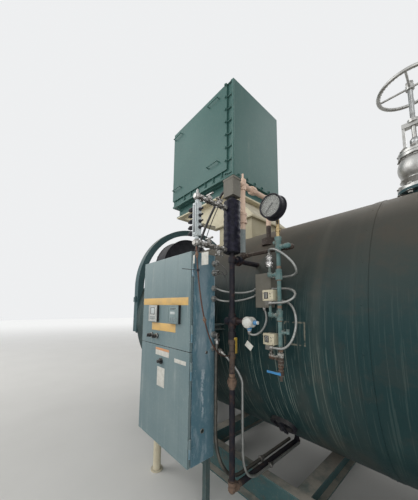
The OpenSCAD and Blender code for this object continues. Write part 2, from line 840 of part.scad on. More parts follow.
module water_column() {
    cap_h = 8;
    cap_r = 46;
    color(black_iron) translate([col_x, col_y, col_z]) {
        cylinder(h = cap_h, r1 = cap_r, r2 = col_r, $fn = 96);
        translate([0, 0, cap_h]) cylinder(h = col_l - 2 * cap_h, r = col_r, $fn = 96);
        translate([0, 0, col_l - cap_h]) cylinder(h = cap_h, r1 = col_r, r2 = cap_r, $fn = 96);
        translate([0, 0, col_l]) cylinder(h = neck_h, r = 25);
        translate([0, 0, col_l]) cylinder(h = neck_h / 2, r = 34, $fn = 6);
    }
}

module column_switch() {
    head_d1 = 84;
    lid_t = 8;
    color("gray") {
        block(col_x, col_y, col_top + neck_h, [head_w - lid_t, head_d1, head_h]);
        block(col_x, col_y, col_top + neck_h + head_h - 2 * lid_t, [head_w, head_d1 + lid_t, 2 * lid_t]);
        block(col_x, col_y, col_top + neck_h, [head_w - 2 * lid_t, head_d1 + lid_t / 2, head_h - 2 * lid_t]);
        along_x(switch_hub[0], switch_hub[1], switch_hub[2]) {
            cylinder(h = head_w / 2, r = 14);
            translate([0, 0, 6]) cylinder(h = 10, r = 18, $fn = 6);
        }
    }
}

module gauge_glass() {
    block_in = 46;
    block_h = glass_pitch - 2 * block_in;
    color(steel) translate([col_x, glass_y, glass_bottom]) {
        block(0, 0, block_in, [52, 34, block_h]);
        block(0, 0, block_in + 8, [34, 46, block_h - 16]);
        for (z = [20, glass_pitch - block_in]) translate([0, 0, z]) {
            cylinder(h = block_in - 20, r = 9);
            translate([0, 0, 5]) cylinder(h = 14, r = 15, $fn = 6);
        }
    }
}

module gauge_valves() {
    stem_h = 58;
    color(steel) for (z = [glass_bottom, glass_top]) {
        along_y(col_x, glass_y, z) cylinder(h = glass_off - col_r, r = 10);
        along_y(col_x, glass_y - 24, z) cylinder(h = 44, r = 18, $fn = 6);
        translate([col_x, glass_y, z - 20]) cylinder(h = 40, r = 16);
        for (y = [110, 205]) along_y(col_x, glass_y + y - 24, z) {
            cylinder(h = 48, r = 17);
            cylinder(h = 12, r = 20, $fn = 6);
            translate([0, 0, 36]) cylinder(h = 12, r = 20, $fn = 6);
        }
        translate([col_x, glass_y + 110, z]) {
            cylinder(h = stem_h, r = 8);
            cylinder(h = stem_h / 2, r = 14, $fn = 6);
        }
        translate([col_x, glass_y + 205, z > glass_bottom ? z : z - stem_h + 12])
            cylinder(h = stem_h - 12, r = 8);
        block(col_x, glass_y + 110, z + stem_h - 8, [60, 12, 8]);
        block(col_x, glass_y + 205, z > glass_bottom ? z + stem_h - 12 : z - stem_h + 4, [12, 60, 8]);
    }
    color(steel) translate([col_x, glass_y, glass_top + 20 - e]) cylinder(h = 24, r = 8);
}

module steam_equalizing_pipe() {
    top = col_z + steam_rise;
    far = -0.7 * shell_r;
    drop_z = axis_z + shell_dz(far);
    valve_z0 = sense_z + steam_valve_rise;
    end_x = man_x + elbow_out;
    nipple_z = col_z + 0.88 * col_l;
    color(peach) difference() {
        union() {
            translate([col_x, eq_y, sense_z]) cylinder(h = top - sense_z, r = steam_pipe_r);
            translate([col_x, eq_y, valve_z0]) {
                cylinder(h = 85, r = steam_pipe_r + 8);
                for (z = [0, 65]) translate([0, 0, z]) cylinder(h = 20, r = steam_pipe_r + 13, $fn = 8);
            }
            along_y(col_x, eq_y, top) cylinder(h = far - eq_y, r = steam_pipe_r);
            along_y(col_x, eq_y + 108, top) {
                cylinder(h = 40, r = steam_pipe_r + 14, $fn = 8);
                translate([0, 0, -14]) cylinder(h = 68, r = steam_pipe_r + 7);
            }
            translate([col_x, eq_y, top - 45]) cylinder(h = 90, r = steam_pipe_r + 7);
            along_y(col_x, eq_y - 42, top) cylinder(h = 84, r = steam_pipe_r + 7);
            along_y(col_x, eq_y - 50, top) cylinder(h = 50, r = steam_pipe_r - 3, $fn = 8);
            translate([col_x, eq_y, top + 45]) {
                cylinder(h = 55, r = 8);
                cylinder(h = 16, r = 14, $fn = 6);
            }
            translate([col_x, far, drop_z - 30]) cylinder(h = top - drop_z + 30, r = steam_pipe_r);
            translate([col_x, far, drop_z - 30]) cylinder(h = 60, r = 3 * steam_pipe_r);
            for (p = [[far, top], [eq_y, sense_z]]) {
                translate([col_x, p[0], p[1]]) sphere(r = steam_pipe_r + 6);
            }
            along_y(col_x, far - 40, top) cylinder(h = 30, r = steam_pipe_r + 7);
            translate([col_x, far, top - 50]) cylinder(h = 30, r = steam_pipe_r + 7);
            along_y(col_x, col_y + col_r - 1, nipple_z) cylinder(h = steam_off - col_r, r = 14);
            along_x(col_x, eq_y, sense_z) cylinder(h = end_x - col_x, r = 14);
            for (x = [col_x + 30, end_x - 40]) along_x(x, eq_y, sense_z) cylinder(h = 24, r = 19);
            translate([end_x, eq_y, sense_z]) sphere(r = 19);
            along_y(end_x, man_y + sense_out + seat, sense_z) cylinder(h = eq_y - man_y - sense_out, r = 12);
        }
        shell_form();
        translate([col_x, col_y, col_z]) cylinder(h = col_l, r = col_r + seat);
    }
}

module column_drain_pipe() {
    inner = -0.324 * shell_r;
    nipple_z = col_z - nipple_drop;
    valve_mid = col_z - drain_valve_drop;
    union_z = col_z - union_drop;
    union_r = 31;
    color(black_iron) difference() {
        union() {
            translate([col_x, col_y, drain_run_z]) cylinder(h = col_z - drain_run_z, r = col_pipe_r);
            for (z = [cross_z - 52, cross_z + 22, valve_mid - 40, valve_mid + 18])
                translate([col_x, col_y, z]) cylinder(h = 30, r = drain_body_r);
            translate([col_x, col_y, cross_z - 50]) cylinder(h = 100, r = drain_body_r - 3);
            along_x(col_x - 52, col_y, cross_z) cylinder(h = 104, r = drain_body_r - 3);
            for (x = [-52, 24]) along_x(col_x + x, col_y, cross_z) cylinder(h = 28, r = drain_body_r);
            along_x(col_x - 68, col_y, cross_z) cylinder(h = 30, r = nipple_r, $fn = 8);
            along_x(col_x, col_y, cross_z) cylinder(h = dial_out - dial_r - seat, r = nipple_r);
            for (z = [cross_z, nipple_z]) along_y(col_x, col_y, z) cylinder(h = -col_y, r = col_pipe_r);
            translate([col_x, col_y, nipple_z - 20]) cylinder(h = 40, r = drain_body_r - 1);
            along_y(col_x, col_y + 60, nipple_z) cylinder(h = 22, r = 38);
            along_y(col_x, col_y + 22, nipple_z) cylinder(h = 20, r = drain_body_r - 1);
            translate([col_x, col_y, union_z - 30]) cylinder(h = 60, r = drain_body_r);
            translate([col_x, col_y, union_z - 14]) cylinder(h = 28, r = union_r + 3, $fn = 8);
            translate([col_x, col_y, valve_mid - 22]) cylinder(h = 44, r = drain_body_r - 2);
            along_x(col_x, col_y, valve_mid + 1) cylinder(h = drain_body_r, r = 8);
            translate([col_x, col_y, drain_tee_z - 22]) cylinder(h = 44, r = drain_tee_r);
            translate([col_x, col_y, drain_run_z]) sphere(r = col_pipe_r + 8);
            translate([col_x, col_y, drain_run_z + 26]) cylinder(h = 24, r = col_pipe_r + 8);
            along_y(col_x, col_y, drain_run_z) cylinder(h = inner - col_y, r = col_pipe_r);
            along_y(col_x, col_y + 26, drain_run_z) cylinder(h = 24, r = col_pipe_r + 8);
            translate([col_x, inner, drain_run_z]) cylinder(h = shell_r / 10, r = col_pipe_r);
            translate([col_x, inner, drain_run_z]) sphere(r = col_pipe_r + 8);
        }
        shell_form();
    }
}

module drain_valve_lever() {
    boss_h = 14;
    grip_l = 110;
    color("gold") along_x(col_x + drain_body_r, col_y, col_z - drain_valve_drop + 1) {
        translate([0, 0, seat]) cylinder(h = boss_h - seat, r = 10);
        translate([-12, -8, boss_h - 4]) cube([grip_l, 16, 4]);
    }
}

module gauge_drain_tube() {
    top = [col_x, glass_y, glass_bottom - 20 - seat];
    tee = [col_x, col_y - drain_tee_r - seat, drain_tee_z];
    color(brown_iron) tube(concat([top], curve([top - [0, 0, 20], top + [0, 40, 0.68 * (tee[2] - top[2])],
        tee - [0, 0.5 * glass_off, 0], tee - [0, 24, 0]]), [tee]), tube_r, [1, 0, 0]);
}

module pressure_gauge() {
    case_h = 56;
    color(black_iron) {
        along_y(man_x, man_y - 80, gauge_z) {
            cylinder(h = 12, r = gauge_d / 2 + 4, $fn = 96);
            cylinder(h = case_h, r = gauge_d / 2, $fn = 96);
            translate([0, 0, case_h]) cylinder(h = 12, r1 = gauge_d / 2, r2 = gauge_d / 2 - 14, $fn = 96);
            cylinder(h = 80, r = 22);
        }
        translate([man_x, man_y, man_top + 40]) cylinder(h = gauge_z - man_top - 30, r = 9);
        translate([man_x, man_y, gauge_z - gauge_d / 2 - 30]) cylinder(h = 24, r = 14, $fn = 6);
    }
}

module control_manifold() {
    tee_r = man_r + 6;
    collar_h = 20;
    valve_h = 80;
    cock_z = man_z + 0.245 * man_l;
    cock_x = man_x + 62;
    branch_ends = [control_zs[0] - foot_h, control_zs[1] - foot_h, sensor_z];
    color(teal) difference() {
        union() {
            translate([man_x, man_y, man_z]) cylinder(h = man_l, r = man_r);
            for (z = branch_zs) translate([man_x, man_y, z - 32]) {
                cylinder(h = 64, r = tee_r - 2);
                for (rise = [0, 64 - collar_h]) translate([0, 0, rise]) cylinder(h = collar_h, r = tee_r);
            }
            translate([man_x, man_y, man_top - 66]) cylinder(h = 106, r = tee_r);
            translate([man_x, man_y, man_top + 14]) cylinder(h = 26, r = tee_r + 4, $fn = 8);
            translate([man_x, man_y, man_z + 0.68 * man_l]) cylinder(h = 46, r = tee_r + 3, $fn = 8);
            along_x(man_x - 32, man_y, man_top + 5) cylinder(h = 32, r = 14);
            along_x(man_x, man_y, sense_z) cylinder(h = elbow_out, r = 12);
            along_x(man_x + 16, man_y, sense_z) cylinder(h = 18, r = 17);
            along_x(man_x + elbow_out - 22, man_y, sense_z) cylinder(h = 18, r = 17);
            translate([man_x + elbow_out, man_y, sense_z]) sphere(r = sense_out);
            for (i = [0 : 2]) {
                along_x(control_x, man_y, branch_zs[i]) cylinder(h = elbow_out, r = 11);
                along_x(control_x + 8, man_y, branch_zs[i]) cylinder(h = 12, r = 16);
                along_x(man_x - 30, man_y, branch_zs[i]) cylinder(h = 14, r = 16);
                translate([control_x, man_y, branch_zs[i]]) {
                    sphere(r = 15);
                    cylinder(h = branch_ends[i] - branch_zs[i], r = 9);
                    translate([0, 0, 8]) cylinder(h = 12, r = 16);
                }
            }
            along_x(man_x, man_y, cock_z) cylinder(h = 62, r = 8);
            along_x(man_x + 12, man_y, cock_z) cylinder(h = 14, r = 13, $fn = 6);
            translate([cock_x - 8, man_y, cock_z - 8]) cylinder(h = 30, r = 10);
            translate([man_x, man_y, man_z - valve_h]) cylinder(h = valve_h, r = 14);
            translate([man_x, man_y, man_z - 76]) cylinder(h = 32, r = 18);
            translate([man_x, man_y, man_z - 26]) cylinder(h = 18, r = 20, $fn = 6);
            translate([man_x, man_y, man_z - valve_h - 28]) cylinder(h = 30, r = 11, $fn = 6);
        }
        shell_form();
        along_y(man_x + elbow_out, man_y + sense_out, sense_z) cylinder(h = 30, r = 30);
    }
}

module pressure_controls() {
    box_d = 56;
    foot_out = 14;
    color(cream) for (z = control_zs) {
        block(control_x, man_y, z, [control_w, box_d, control_h]);
        block(control_x, man_y, z + control_h - 14, [control_w + 4, box_d + 4, 6]);
        block(control_x, man_y - foot_out, z - foot_h, [foot_w, box_d, foot_h]);
    }
}

module pressure_sensor() {
    color(steel) translate([control_x, man_y, sensor_z]) {
        cylinder(h = 0.3 * sensor_h, r1 = 14, r2 = 22);
        translate([0, 0, 0.3 * sensor_h]) cylinder(h = 0.2 * sensor_h, r1 = 22, r2 = 17);
        translate([0, 0, 0.5 * sensor_h]) cylinder(h = 0.3 * sensor_h, r1 = 17, r2 = 23);
        translate([0, 0, 0.8 * sensor_h]) cylinder(h = 0.2 * sensor_h, r1 = 23, r2 = 12);
    }
}

module manifold_valve_lever() {
    boss_h = 12;
    grip_l = 98;
    color("royalblue") translate([man_x, man_y - 18, man_z - 60]) {
        along_y(0, -boss_h, 0) cylinder(h = boss_h - seat, r = 8);
        translate([16 - grip_l, -boss_h - 4, -7]) cube([grip_l, 4, 14]);
    }
}

module junction_box() {
    lid_out = 3;
    color(olive) difference() {
        union() {
            translate(jbox) cube([jbox_w, jbox_d, jbox_h]);
            translate(jbox - [lid_out, lid_out, lid_out])
                cube([jbox_w + 2 * lid_out, lid_out + 2, jbox_h + 2 * lid_out]);
        }
        shell_form();
    }
}

module pressure_transmitter() {
    hub_r = 11;
    color("whitesmoke") {
        along_y(dial_x, col_y - 35, cross_z) {
            cylinder(h = 60, r = dial_r - 3);
            translate([0, 0, -6]) cylinder(h = 6, r1 = dial_r - 14, r2 = dial_r - 3);
            for (z = [0, 42]) translate([0, 0, z]) cylinder(h = 18, r = dial_r);
        }
        translate([dial_x, dial_y, dial_foot_z]) {
            cylinder(h = cross_z - dial_foot_z, r = hub_r);
            translate([0, 0, 8]) cylinder(h = 12, r = hub_r + 4, $fn = 6);
        }
        along_x(dial_x, dial_y, cross_z) {
            cylinder(h = 2 * dial_r, r = hub_r);
            translate([0, 0, dial_r + 6]) cylinder(h = 14, r = hub_r + 4, $fn = 6);
        }
    }
}

module control_conduits() {
    wire_y = jbox[1] + 14;
    box_left = [jbox[0] - 3 - seat, wire_y, jbox[2] + 0.55 * jbox_h];
    box_right = [jbox[0] + jbox_w + 3 + seat, wire_y, jbox[2] + 0.88 * jbox_h];
    sensor_top = [control_x, man_y, sensor_z + sensor_h + seat];
    turn = [man_x + 100, man_y - 5, man_top - 145];
    control_lead = 190;
    dial_lead = 120;
    color(steel) {
        for (i = [0, 1]) tube(hose([cab_right + gland_out + seat, gland_y, gland_zs[i]], [90, 0, 0],
            box_left - [0, 0, 45 * i], [-110, 0, 0], [0, 0, -40]), wire_r, [0, 1, 0]);
        tube(concat([sensor_top], curve([sensor_top + [0, 0, 10], sensor_top + [0, -30, 50],
            [man_x + 20, man_y - 54, sense_z], turn]), curve([turn, turn + [35, 15, -70],
            box_right + [210, 0, -20], box_right + [12, 0, 0]]), [box_right]), wire_r, [0, 1, 0]);
        for (i = [0, 1]) tube(hose(box_right - [0, 0, 0.35 * jbox_h * (i + 1)], [230, 0, 0],
            [control_x + foot_w / 2 + seat, man_y - 31, control_zs[1 - i] - foot_h / 2],
            [control_lead, 0, 0], [0, 0, 0], 66), wire_r, [0, 1, 0]);
        tube(hose([jbox[0] + 60, wire_y, jbox[2] - 3 - seat], [0, 0, -dial_lead],
            [dial_x, dial_y, dial_foot_z - seat], [0, 0, -50], [60, 0, 0]), wire_r, [0, 1, 0]);
    }
}

module drop_conduit() {
    side = [1, -1, 0];
    x = cab_right + 62;
    y = cab_back - 40;
    out = col_x - 42;
    back_x = col_x + 20;
    back_y = eq_y - 40;
    far = -0.38 * shell_r;
    dips = [194, 254];
    high = [gland_zs[2] - dips[0], gland_zs[3] - dips[1]];
    start = [cab_right + gland_out + seat, gland_y, gland_zs[2]];
    low = drop_run_z;
    color(black_iron) {
        tube(concat(hose(start, [40, 0, 0], [x, y, high[0]], [0, 0, 90]),
            curve([[x, y, cab_z + 227], [x, y, low + 120], [out, y + 20, low], [out, y + 180, low]]),
            [[out, far, low]]), drop_r, side);
        tube(concat(
            hose([start[0], gland_y, gland_zs[3]], [70, 0, 0], [back_x, back_y, high[1]], [0, 0, 100]),
            curve([[back_x, back_y, cab_z + 127], [back_x, back_y, low + 40], [back_x + 30, back_y + 30, low],
            [back_x + 30, back_y + 160, low]]), [[back_x + 30, far, low]]), small_drop_r, side);
        tube(hose(switch_hub - [seat, 0, 0], [-70, 0, 0], top_gland + [0, 0, gland_out + seat], [0, 0, 150]),
            small_drop_r, side);
    }
}

module handhole_cover() {
    cover_x = col_x + 121;
    slope = 134;
    plate_l = 210;
    plate_r = 75;
    pad_t = 12;
    color(teal) {
        difference() {
            translate([cover_x, 0, axis_z]) rotate([slope, 0, 0]) difference() {
                translate([0, 0, shell_r - pad_t]) stadium(plate_l, plate_r, pad_t + 28);
                translate([0, 0, shell_r + 6]) stadium(plate_l - 50, plate_r - 25, 40);
            }
            shell_form();
        }
        translate([cover_x, 0, axis_z]) rotate([slope, 0, 0]) {
            translate([0, 0, shell_r + 1]) cylinder(h = 60, r = pad_t);
            block(0, 0, shell_r + 28, [30, 2 * plate_r + 20, 14]);
            translate([0, 0, shell_r + 42]) cylinder(h = 14, r = 20, $fn = 6);
        }
    }
}

module steam_nozzle() {
    pad_t = 16;
    color(teal) translate([steam_x, 0, axis_z + shell_r]) {
        difference() {
            union() {
                translate([0, 0, -8]) cylinder(h = nozzle_h + 16, r = steam_r);
                translate([0, 0, -8]) cylinder(h = pad_t + 8, r = steam_r + 46);
            }
            translate([0, 0, -axis_z - shell_r]) shell_form();
        }
        translate([0, 0, nozzle_h]) cylinder(h = flange_t, r = flange_r);
    }
}

module steam_stop_valve() {
    outlet = 230;
    bonnet_z = 310;
    bonnet_r = 120;
    yoke_h = 260;
    yoke_out = 66;
    stem_top = 60;
    color(steel) translate([steam_x, 0, valve_z]) {
        cylinder(h = flange_t, r = flange_r);
        cylinder(h = body_rise, r = steam_r + 6);
        translate([0, 0, 2 * flange_t]) cylinder(h = 40, r1 = steam_r + 6, r2 = bonnet_r);
        translate([0, 0, body_rise]) sphere(r = bonnet_r + 10);
        translate([0, 0, bonnet_z - 50]) cylinder(h = 50, r = bonnet_r - 16);
        for (z = [bonnet_z - 24, bonnet_z + 2]) translate([0, 0, z]) cylinder(h = 22, r = bonnet_r);
        translate([0, 0, bonnet_z - 4]) cylinder(h = 8, r = bonnet_r - 8);
        translate([0, 0, bonnet_z + 24]) cylinder(h = 40, r1 = bonnet_r - 30, r2 = 40);
        translate([0, 0, bonnet_z + 64]) cylinder(h = 40, r = 34, $fn = 6);
        for (s = [-1, 1]) block(s * yoke_out, 0, bonnet_z + 20, [20, 44, yoke_h + 20]);
        block(0, 0, bonnet_z + yoke_h, [2 * yoke_out + 20, 50, 40]);
        translate([0, 0, bonnet_z + yoke_h + 30]) cylinder(h = 26, r = 40);
        translate([0, 0, bonnet_z + 30])
            cylinder(h = wheel_z - valve_z - bonnet_z - 30 + stem_top, r = stem_r);
        difference() {
            union() {
                along_y(0, 0, body_rise) cylinder(h = outlet, r = steam_r + 6);
                along_y(0, outlet - flange_t, body_rise) cylinder(h = flange_t, r = flange_r);
            }
            for (a = [22.5 : 45 : 359])
                along_y(flange_pcr * cos(a), outlet - flange_t - 1, body_rise + flange_pcr * sin(a))
                    cylinder(h = flange_t + 2, r = flange_hole_r);
        }
    }
}

module steam_handwheel() {
    rim_r = 13;
    hub_r = 30;
    hub_h = 40;
    spoke_count = 4;
    color(steel) translate([steam_x, 0, wheel_z]) {
        rotate_extrude() translate([wheel_r - rim_r, 0]) circle(r = rim_r);
        difference() {
            union() {
                translate([0, 0, -hub_h / 2]) cylinder(h = hub_h, r = hub_r);
                for (i = [0 : spoke_count - 1]) rotate([0, 90, i * 360 / spoke_count])
                    cylinder(h = wheel_r - rim_r, r = 9);
            }
            translate([0, 0, -hub_h]) cylinder(h = 2 * hub_h, r = stem_r + pin_fit);
        }
    }
}

skid_rails();
skid_cross_beams();
saddles();
boiler_shell();
jacket_bands();
front_head();
front_arch();
burner_housing();
fan_housing();
fan_motor();
rear_door();
flue_outlet();
flue_transition();
economizer_frame();
economizer_casing();
access_panel();
panel_handles();
stack_collar();
cabinet_body();
cabinet_hinge_pins();
cabinet_glands();
upper_door();
door_instruments();
lower_door();
door_latch();
cabinet_stand();
disconnect_switch();
water_column();
column_switch();
gauge_glass();
gauge_valves();
steam_equalizing_pipe();
column_drain_pipe();
drain_valve_lever();
gauge_drain_tube();
pressure_gauge();
control_manifold();
pressure_sensor();
pressure_controls();
manifold_valve_lever();
junction_box();
pressure_transmitter();
control_conduits();
drop_conduit();
handhole_cover();
steam_nozzle();
steam_stop_valve();
steam_handwheel();
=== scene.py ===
import math

import bmesh
import bpy
from mathutils import Matrix, Vector, noise as fieldNoise


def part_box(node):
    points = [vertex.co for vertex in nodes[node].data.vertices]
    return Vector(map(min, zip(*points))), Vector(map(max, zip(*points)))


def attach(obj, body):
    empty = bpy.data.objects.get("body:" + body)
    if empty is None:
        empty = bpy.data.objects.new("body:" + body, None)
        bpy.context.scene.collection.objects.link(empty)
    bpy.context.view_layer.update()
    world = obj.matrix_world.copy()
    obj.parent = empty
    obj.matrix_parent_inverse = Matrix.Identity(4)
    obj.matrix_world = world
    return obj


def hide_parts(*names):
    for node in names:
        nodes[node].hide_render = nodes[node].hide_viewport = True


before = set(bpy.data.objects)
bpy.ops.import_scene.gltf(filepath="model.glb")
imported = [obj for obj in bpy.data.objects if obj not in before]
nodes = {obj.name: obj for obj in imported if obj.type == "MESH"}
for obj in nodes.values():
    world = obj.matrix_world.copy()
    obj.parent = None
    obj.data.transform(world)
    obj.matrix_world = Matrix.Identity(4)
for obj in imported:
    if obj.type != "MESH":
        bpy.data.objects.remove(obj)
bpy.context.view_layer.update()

scene = bpy.context.scene
scene.view_settings.view_transform = "Standard"

# helpers for meshes


def turned(axis, degrees):
    return Matrix.Rotation(math.radians(degrees), 4, axis)


def placed(x, y, z):
    return Matrix.Translation((x, y, z))


def at(x, y, z):
    return Vector((x, y, z))


def aimed(direction):
    return direction.to_track_quat("Z", "Y").to_matrix().to_4x4()


upright = Matrix.Identity(4)
downward = turned("X", 180)
alongX = turned("Y", 90)        # a shape made along Z points to +X
againstX = turned("Y", -90)     # to -X
alongY = turned("X", -90)       # to +Y
towardsFront = turned("X", 90)  # to -Y


def softened(bm, made, edges, bevel, segments=2):
    shaped = bmesh.ops.bevel(bm, geom=list(edges), offset=bevel, offset_type="OFFSET", segments=segments,
                             profile=0.5, affect="EDGES", material=-1)
    return list({v for f in shaped["faces"] for v in f.verts} | {v for v in made if v.is_valid})


def addBox(bm, size, where, bevel=0.0, turn=upright):
    made = bmesh.ops.create_cube(bm, size=1.0)["verts"]
    bmesh.ops.scale(bm, vec=size, verts=made)
    if bevel:
        made = softened(bm, made, {e for v in made for e in v.link_edges}, bevel)
    bmesh.ops.transform(bm, matrix=placed(*where) @ turn, verts=made)


def addRod(bm, radius, length, where, turn=upright, sides=20, bevel=0.0):
    made = bmesh.ops.create_cone(bm, cap_ends=True, segments=sides, radius1=radius, radius2=radius,
                                 depth=length)["verts"]
    if bevel:
        rims = {e for v in made for e in v.link_edges if len({round(o.co.z, 6) for o in e.verts}) == 1}
        made = softened(bm, made, rims, bevel)
    bmesh.ops.transform(bm, matrix=placed(*where) @ turn @ placed(0, 0, length / 2), verts=made)


def addLathe(bm, outline, where, turn=upright, steps=32):
    part = bmesh.new()
    points = [part.verts.new((r, 0, z)) for r, z in outline]
    edges = [part.edges.new(pair) for pair in zip(points, points[1:])]
    bmesh.ops.spin(part, geom=points + edges, cent=(0, 0, 0), axis=(0, 0, 1), angle=2 * math.pi,
                   steps=steps, use_merge=True, use_duplicate=False)
    bmesh.ops.remove_doubles(part, verts=part.verts, dist=1e-5)
    bmesh.ops.recalc_face_normals(part, faces=part.faces)
    bmesh.ops.transform(part, matrix=placed(*where) @ turn, verts=part.verts)
    held = bpy.data.meshes.new("held")
    part.to_mesh(held)
    part.free()
    bm.from_mesh(held)
    bpy.data.meshes.remove(held)


def addRing(bm, outline, where, turn=upright, steps=32):
    addLathe(bm, outline + outline[:1], where, turn, steps)


def addDisc(bm, radius, thick, where, turn, steps, rim=None):
    addRing(bm, [(0.0, thick), (rim or radius, thick), (radius, 0.0), (0.0, 0.0)], where, turn, steps)


def addHexHead(bm, across, height, where, turn=upright):
    addRod(bm, across / math.sqrt(3), height, where, turn, 6, height * 0.12)


def addBolt(bm, across, where, turn=upright):
    direction = (turn @ at(0, 0, 1)).normalized()
    addRod(bm, across * 0.95, across * 0.12, where, turn, 14)
    addHexHead(bm, across, across * 0.6, Vector(where) + direction * across * 0.1, turn)


def boltRing(bm, across, radius, count, centre, turn=upright, start=0.0):
    for i in range(count):
        angle = math.radians(start + i * 360 / count)
        addBolt(bm, across,
                placed(*centre) @ turn @ at(radius * math.cos(angle), radius * math.sin(angle), 0), turn)


def boltRow(bm, across, start, end, count, turn=upright):
    for i in range(count):
        addBolt(bm, across, Vector(start).lerp(Vector(end), i / (count - 1)), turn)


def addScrew(bm, radius, where, turn):
    outline = [(0, radius * 0.5), (radius * 0.6, radius * 0.42), (radius, 0.0), (radius, -radius * 0.3),
               (0, -radius * 0.3)]
    addLathe(bm, outline, where, turn, 12)


def addShapedCurve(bm, curve, matrix=upright):
    holder = bpy.data.objects.new("shaped", curve)
    scene.collection.objects.link(holder)
    bpy.context.view_layer.update()
    made = bpy.data.meshes.new_from_object(holder.evaluated_get(bpy.context.evaluated_depsgraph_get()))
    made.transform(matrix)
    bm.from_mesh(made)
    bpy.data.objects.remove(holder)
    bpy.data.curves.remove(curve)
    bpy.data.meshes.remove(made)


def finishPiece(name, bm, finish, body="boiler", hides=(), smooth=True):
    mesh = bpy.data.meshes.new(name)
    bm.to_mesh(mesh)
    bm.free()
    piece = bpy.data.objects.new(name, mesh)
    scene.collection.objects.link(piece)
    mesh.materials.append(finishes[finish])
    if smooth:
        mesh.shade_smooth()
        mesh.set_sharp_from_angle(angle=math.radians(35))
    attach(piece, body)
    if hides:
        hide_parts(*hides)


# curves of conduits and tubes


def bezier(*c, steps=24):
    return [c[0] * (1 - t) ** 3 + c[1] * 3 * (1 - t) ** 2 * t + c[2] * 3 * (1 - t) * t * t + c[3] * t ** 3
            for t in (i / steps for i in range(steps + 1))]


def hosePath(a, d, b, f, sag=(0, 0, 0), lead=0.012):
    a, d, b, f, sag = (Vector(v) for v in (a, d, b, f, sag))
    return [a] + bezier(a + d.normalized() * lead, a + d + sag, b + f + sag, b + f.normalized() * lead) + [b]


def evenly(path, step):
    spaced = [path[0].copy()]
    left = step
    for a, b in zip(path, path[1:]):
        length = (b - a).length
        done = 0.0
        while length - done > left:
            done += left
            spaced.append(a.lerp(b, done / length))
            left = step
        left -= length - done
    if (spaced[-1] - path[-1]).length < step * 0.5 and len(spaced) > 1:
        spaced.pop()
    return spaced + [path[-1].copy()]


def sweptTubes(paths, ribHeight=0.0, pitch=0.006, roundness=3):
    bm = bmesh.new()
    for path, radius in paths:
        points = evenly(path, pitch / 2 if ribHeight else pitch)
        curve = bpy.data.curves.new("route", "CURVE")
        curve.dimensions = "3D"
        curve.bevel_depth = radius
        curve.bevel_resolution = roundness
        curve.use_fill_caps = True
        curve.twist_mode = "MINIMUM"
        spline = curve.splines.new("POLY")
        spline.points.add(len(points) - 1)
        for i, (point, spot) in enumerate(zip(spline.points, points)):
            point.co = (*spot, 1.0)
            point.radius = 1.0 - (ribHeight / radius if i % 2 else 0.0)
        addShapedCurve(bm, curve)
    bmesh.ops.remove_doubles(bm, verts=bm.verts, dist=1e-6)
    bmesh.ops.recalc_face_normals(bm, faces=bm.faces)
    return bm


# helpers for materials: a value is a number, a colour, an output, or the name of an axis in rise and within

finishes = {}
groups = {}


class Shading:
    def __init__(self, tree, target=None):
        self.tree = tree
        self.target = target
        self.vector = None
        self.split = None

    def add(self, kind, inputs=None, **settings):
        node = self.tree.nodes.new(kind)
        for key, value in settings.items():
            setattr(node, key, value)
        for key, value in (inputs or {}).items():
            self.feed(value, node.inputs[key])
        return node

    def feed(self, value, socket):
        if hasattr(value, "is_output"):
            self.tree.links.new(value, socket)
        else:
            socket.default_value = (*value, 1.0) if socket.type == "RGBA" else value

    def give(self, name, value):
        self.feed(value, self.target.inputs[name])

    def axis(self, name):
        if not self.split:
            self.split = self.add("ShaderNodeSeparateXYZ", {0: self.vector})
        return self.split.outputs[name]

    def maths(self, operation, a, b, clamp=False):
        return self.add("ShaderNodeMath", {0: a, 1: b}, operation=operation, use_clamp=clamp).outputs[0]

    def times(self, a, b, clamp=False):
        return self.maths("MULTIPLY", a, b, clamp)

    def plus(self, a, b, clamp=False):
        return self.maths("ADD", a, b, clamp)

    def larger(self, a, b):
        return self.maths("MAXIMUM", a, b)

    def rise(self, value, low, high):
        value = self.axis(value) if isinstance(value, str) else value
        return self.add("ShaderNodeMapRange", {"Value": value, "From Min": low, "From Max": high},
                        interpolation_type="SMOOTHSTEP").outputs[0]

    def within(self, value, low, high, soft=0.004):
        return self.times(self.rise(value, low - soft, low + soft),
                          self.rise(value, high + soft, high - soft))

    def noise(self, scale, detail=4.0, roughness=0.55, distortion=0.0, stretch=None, vector=None):
        vector = vector or self.vector
        if stretch:
            vector = self.add("ShaderNodeMapping", {"Vector": vector, "Scale": stretch}).outputs[0]
        return self.add("ShaderNodeTexNoise", {"Vector": vector, "Scale": scale, "Detail": detail,
                                               "Roughness": roughness, "Distortion": distortion}).outputs[0]

    def wavy(self, axis, reach, *texture, **settings):
        wander = self.maths("SUBTRACT", self.noise(*texture, **settings), 0.5)
        return self.plus(self.axis(axis), self.times(wander, reach))

    def blend(self, amount, a, b):
        return self.add("ShaderNodeMix", {0: amount, 6: a, 7: b}, data_type="RGBA",
                        blend_type="MIX").outputs[2]

    def use(self, group, **inputs):
        return self.add("ShaderNodeGroup", {"Vector": self.vector, **inputs}, node_tree=groups[group]).outputs

    def mask(self, group, **inputs):
        return self.use(group, **inputs)["Mask"]

    def bump(self, height, strength, distance):
        relief = self.add("ShaderNodeBump", {"Strength": strength, "Distance": distance, "Height": height})
        self.give("Normal", relief.outputs[0])


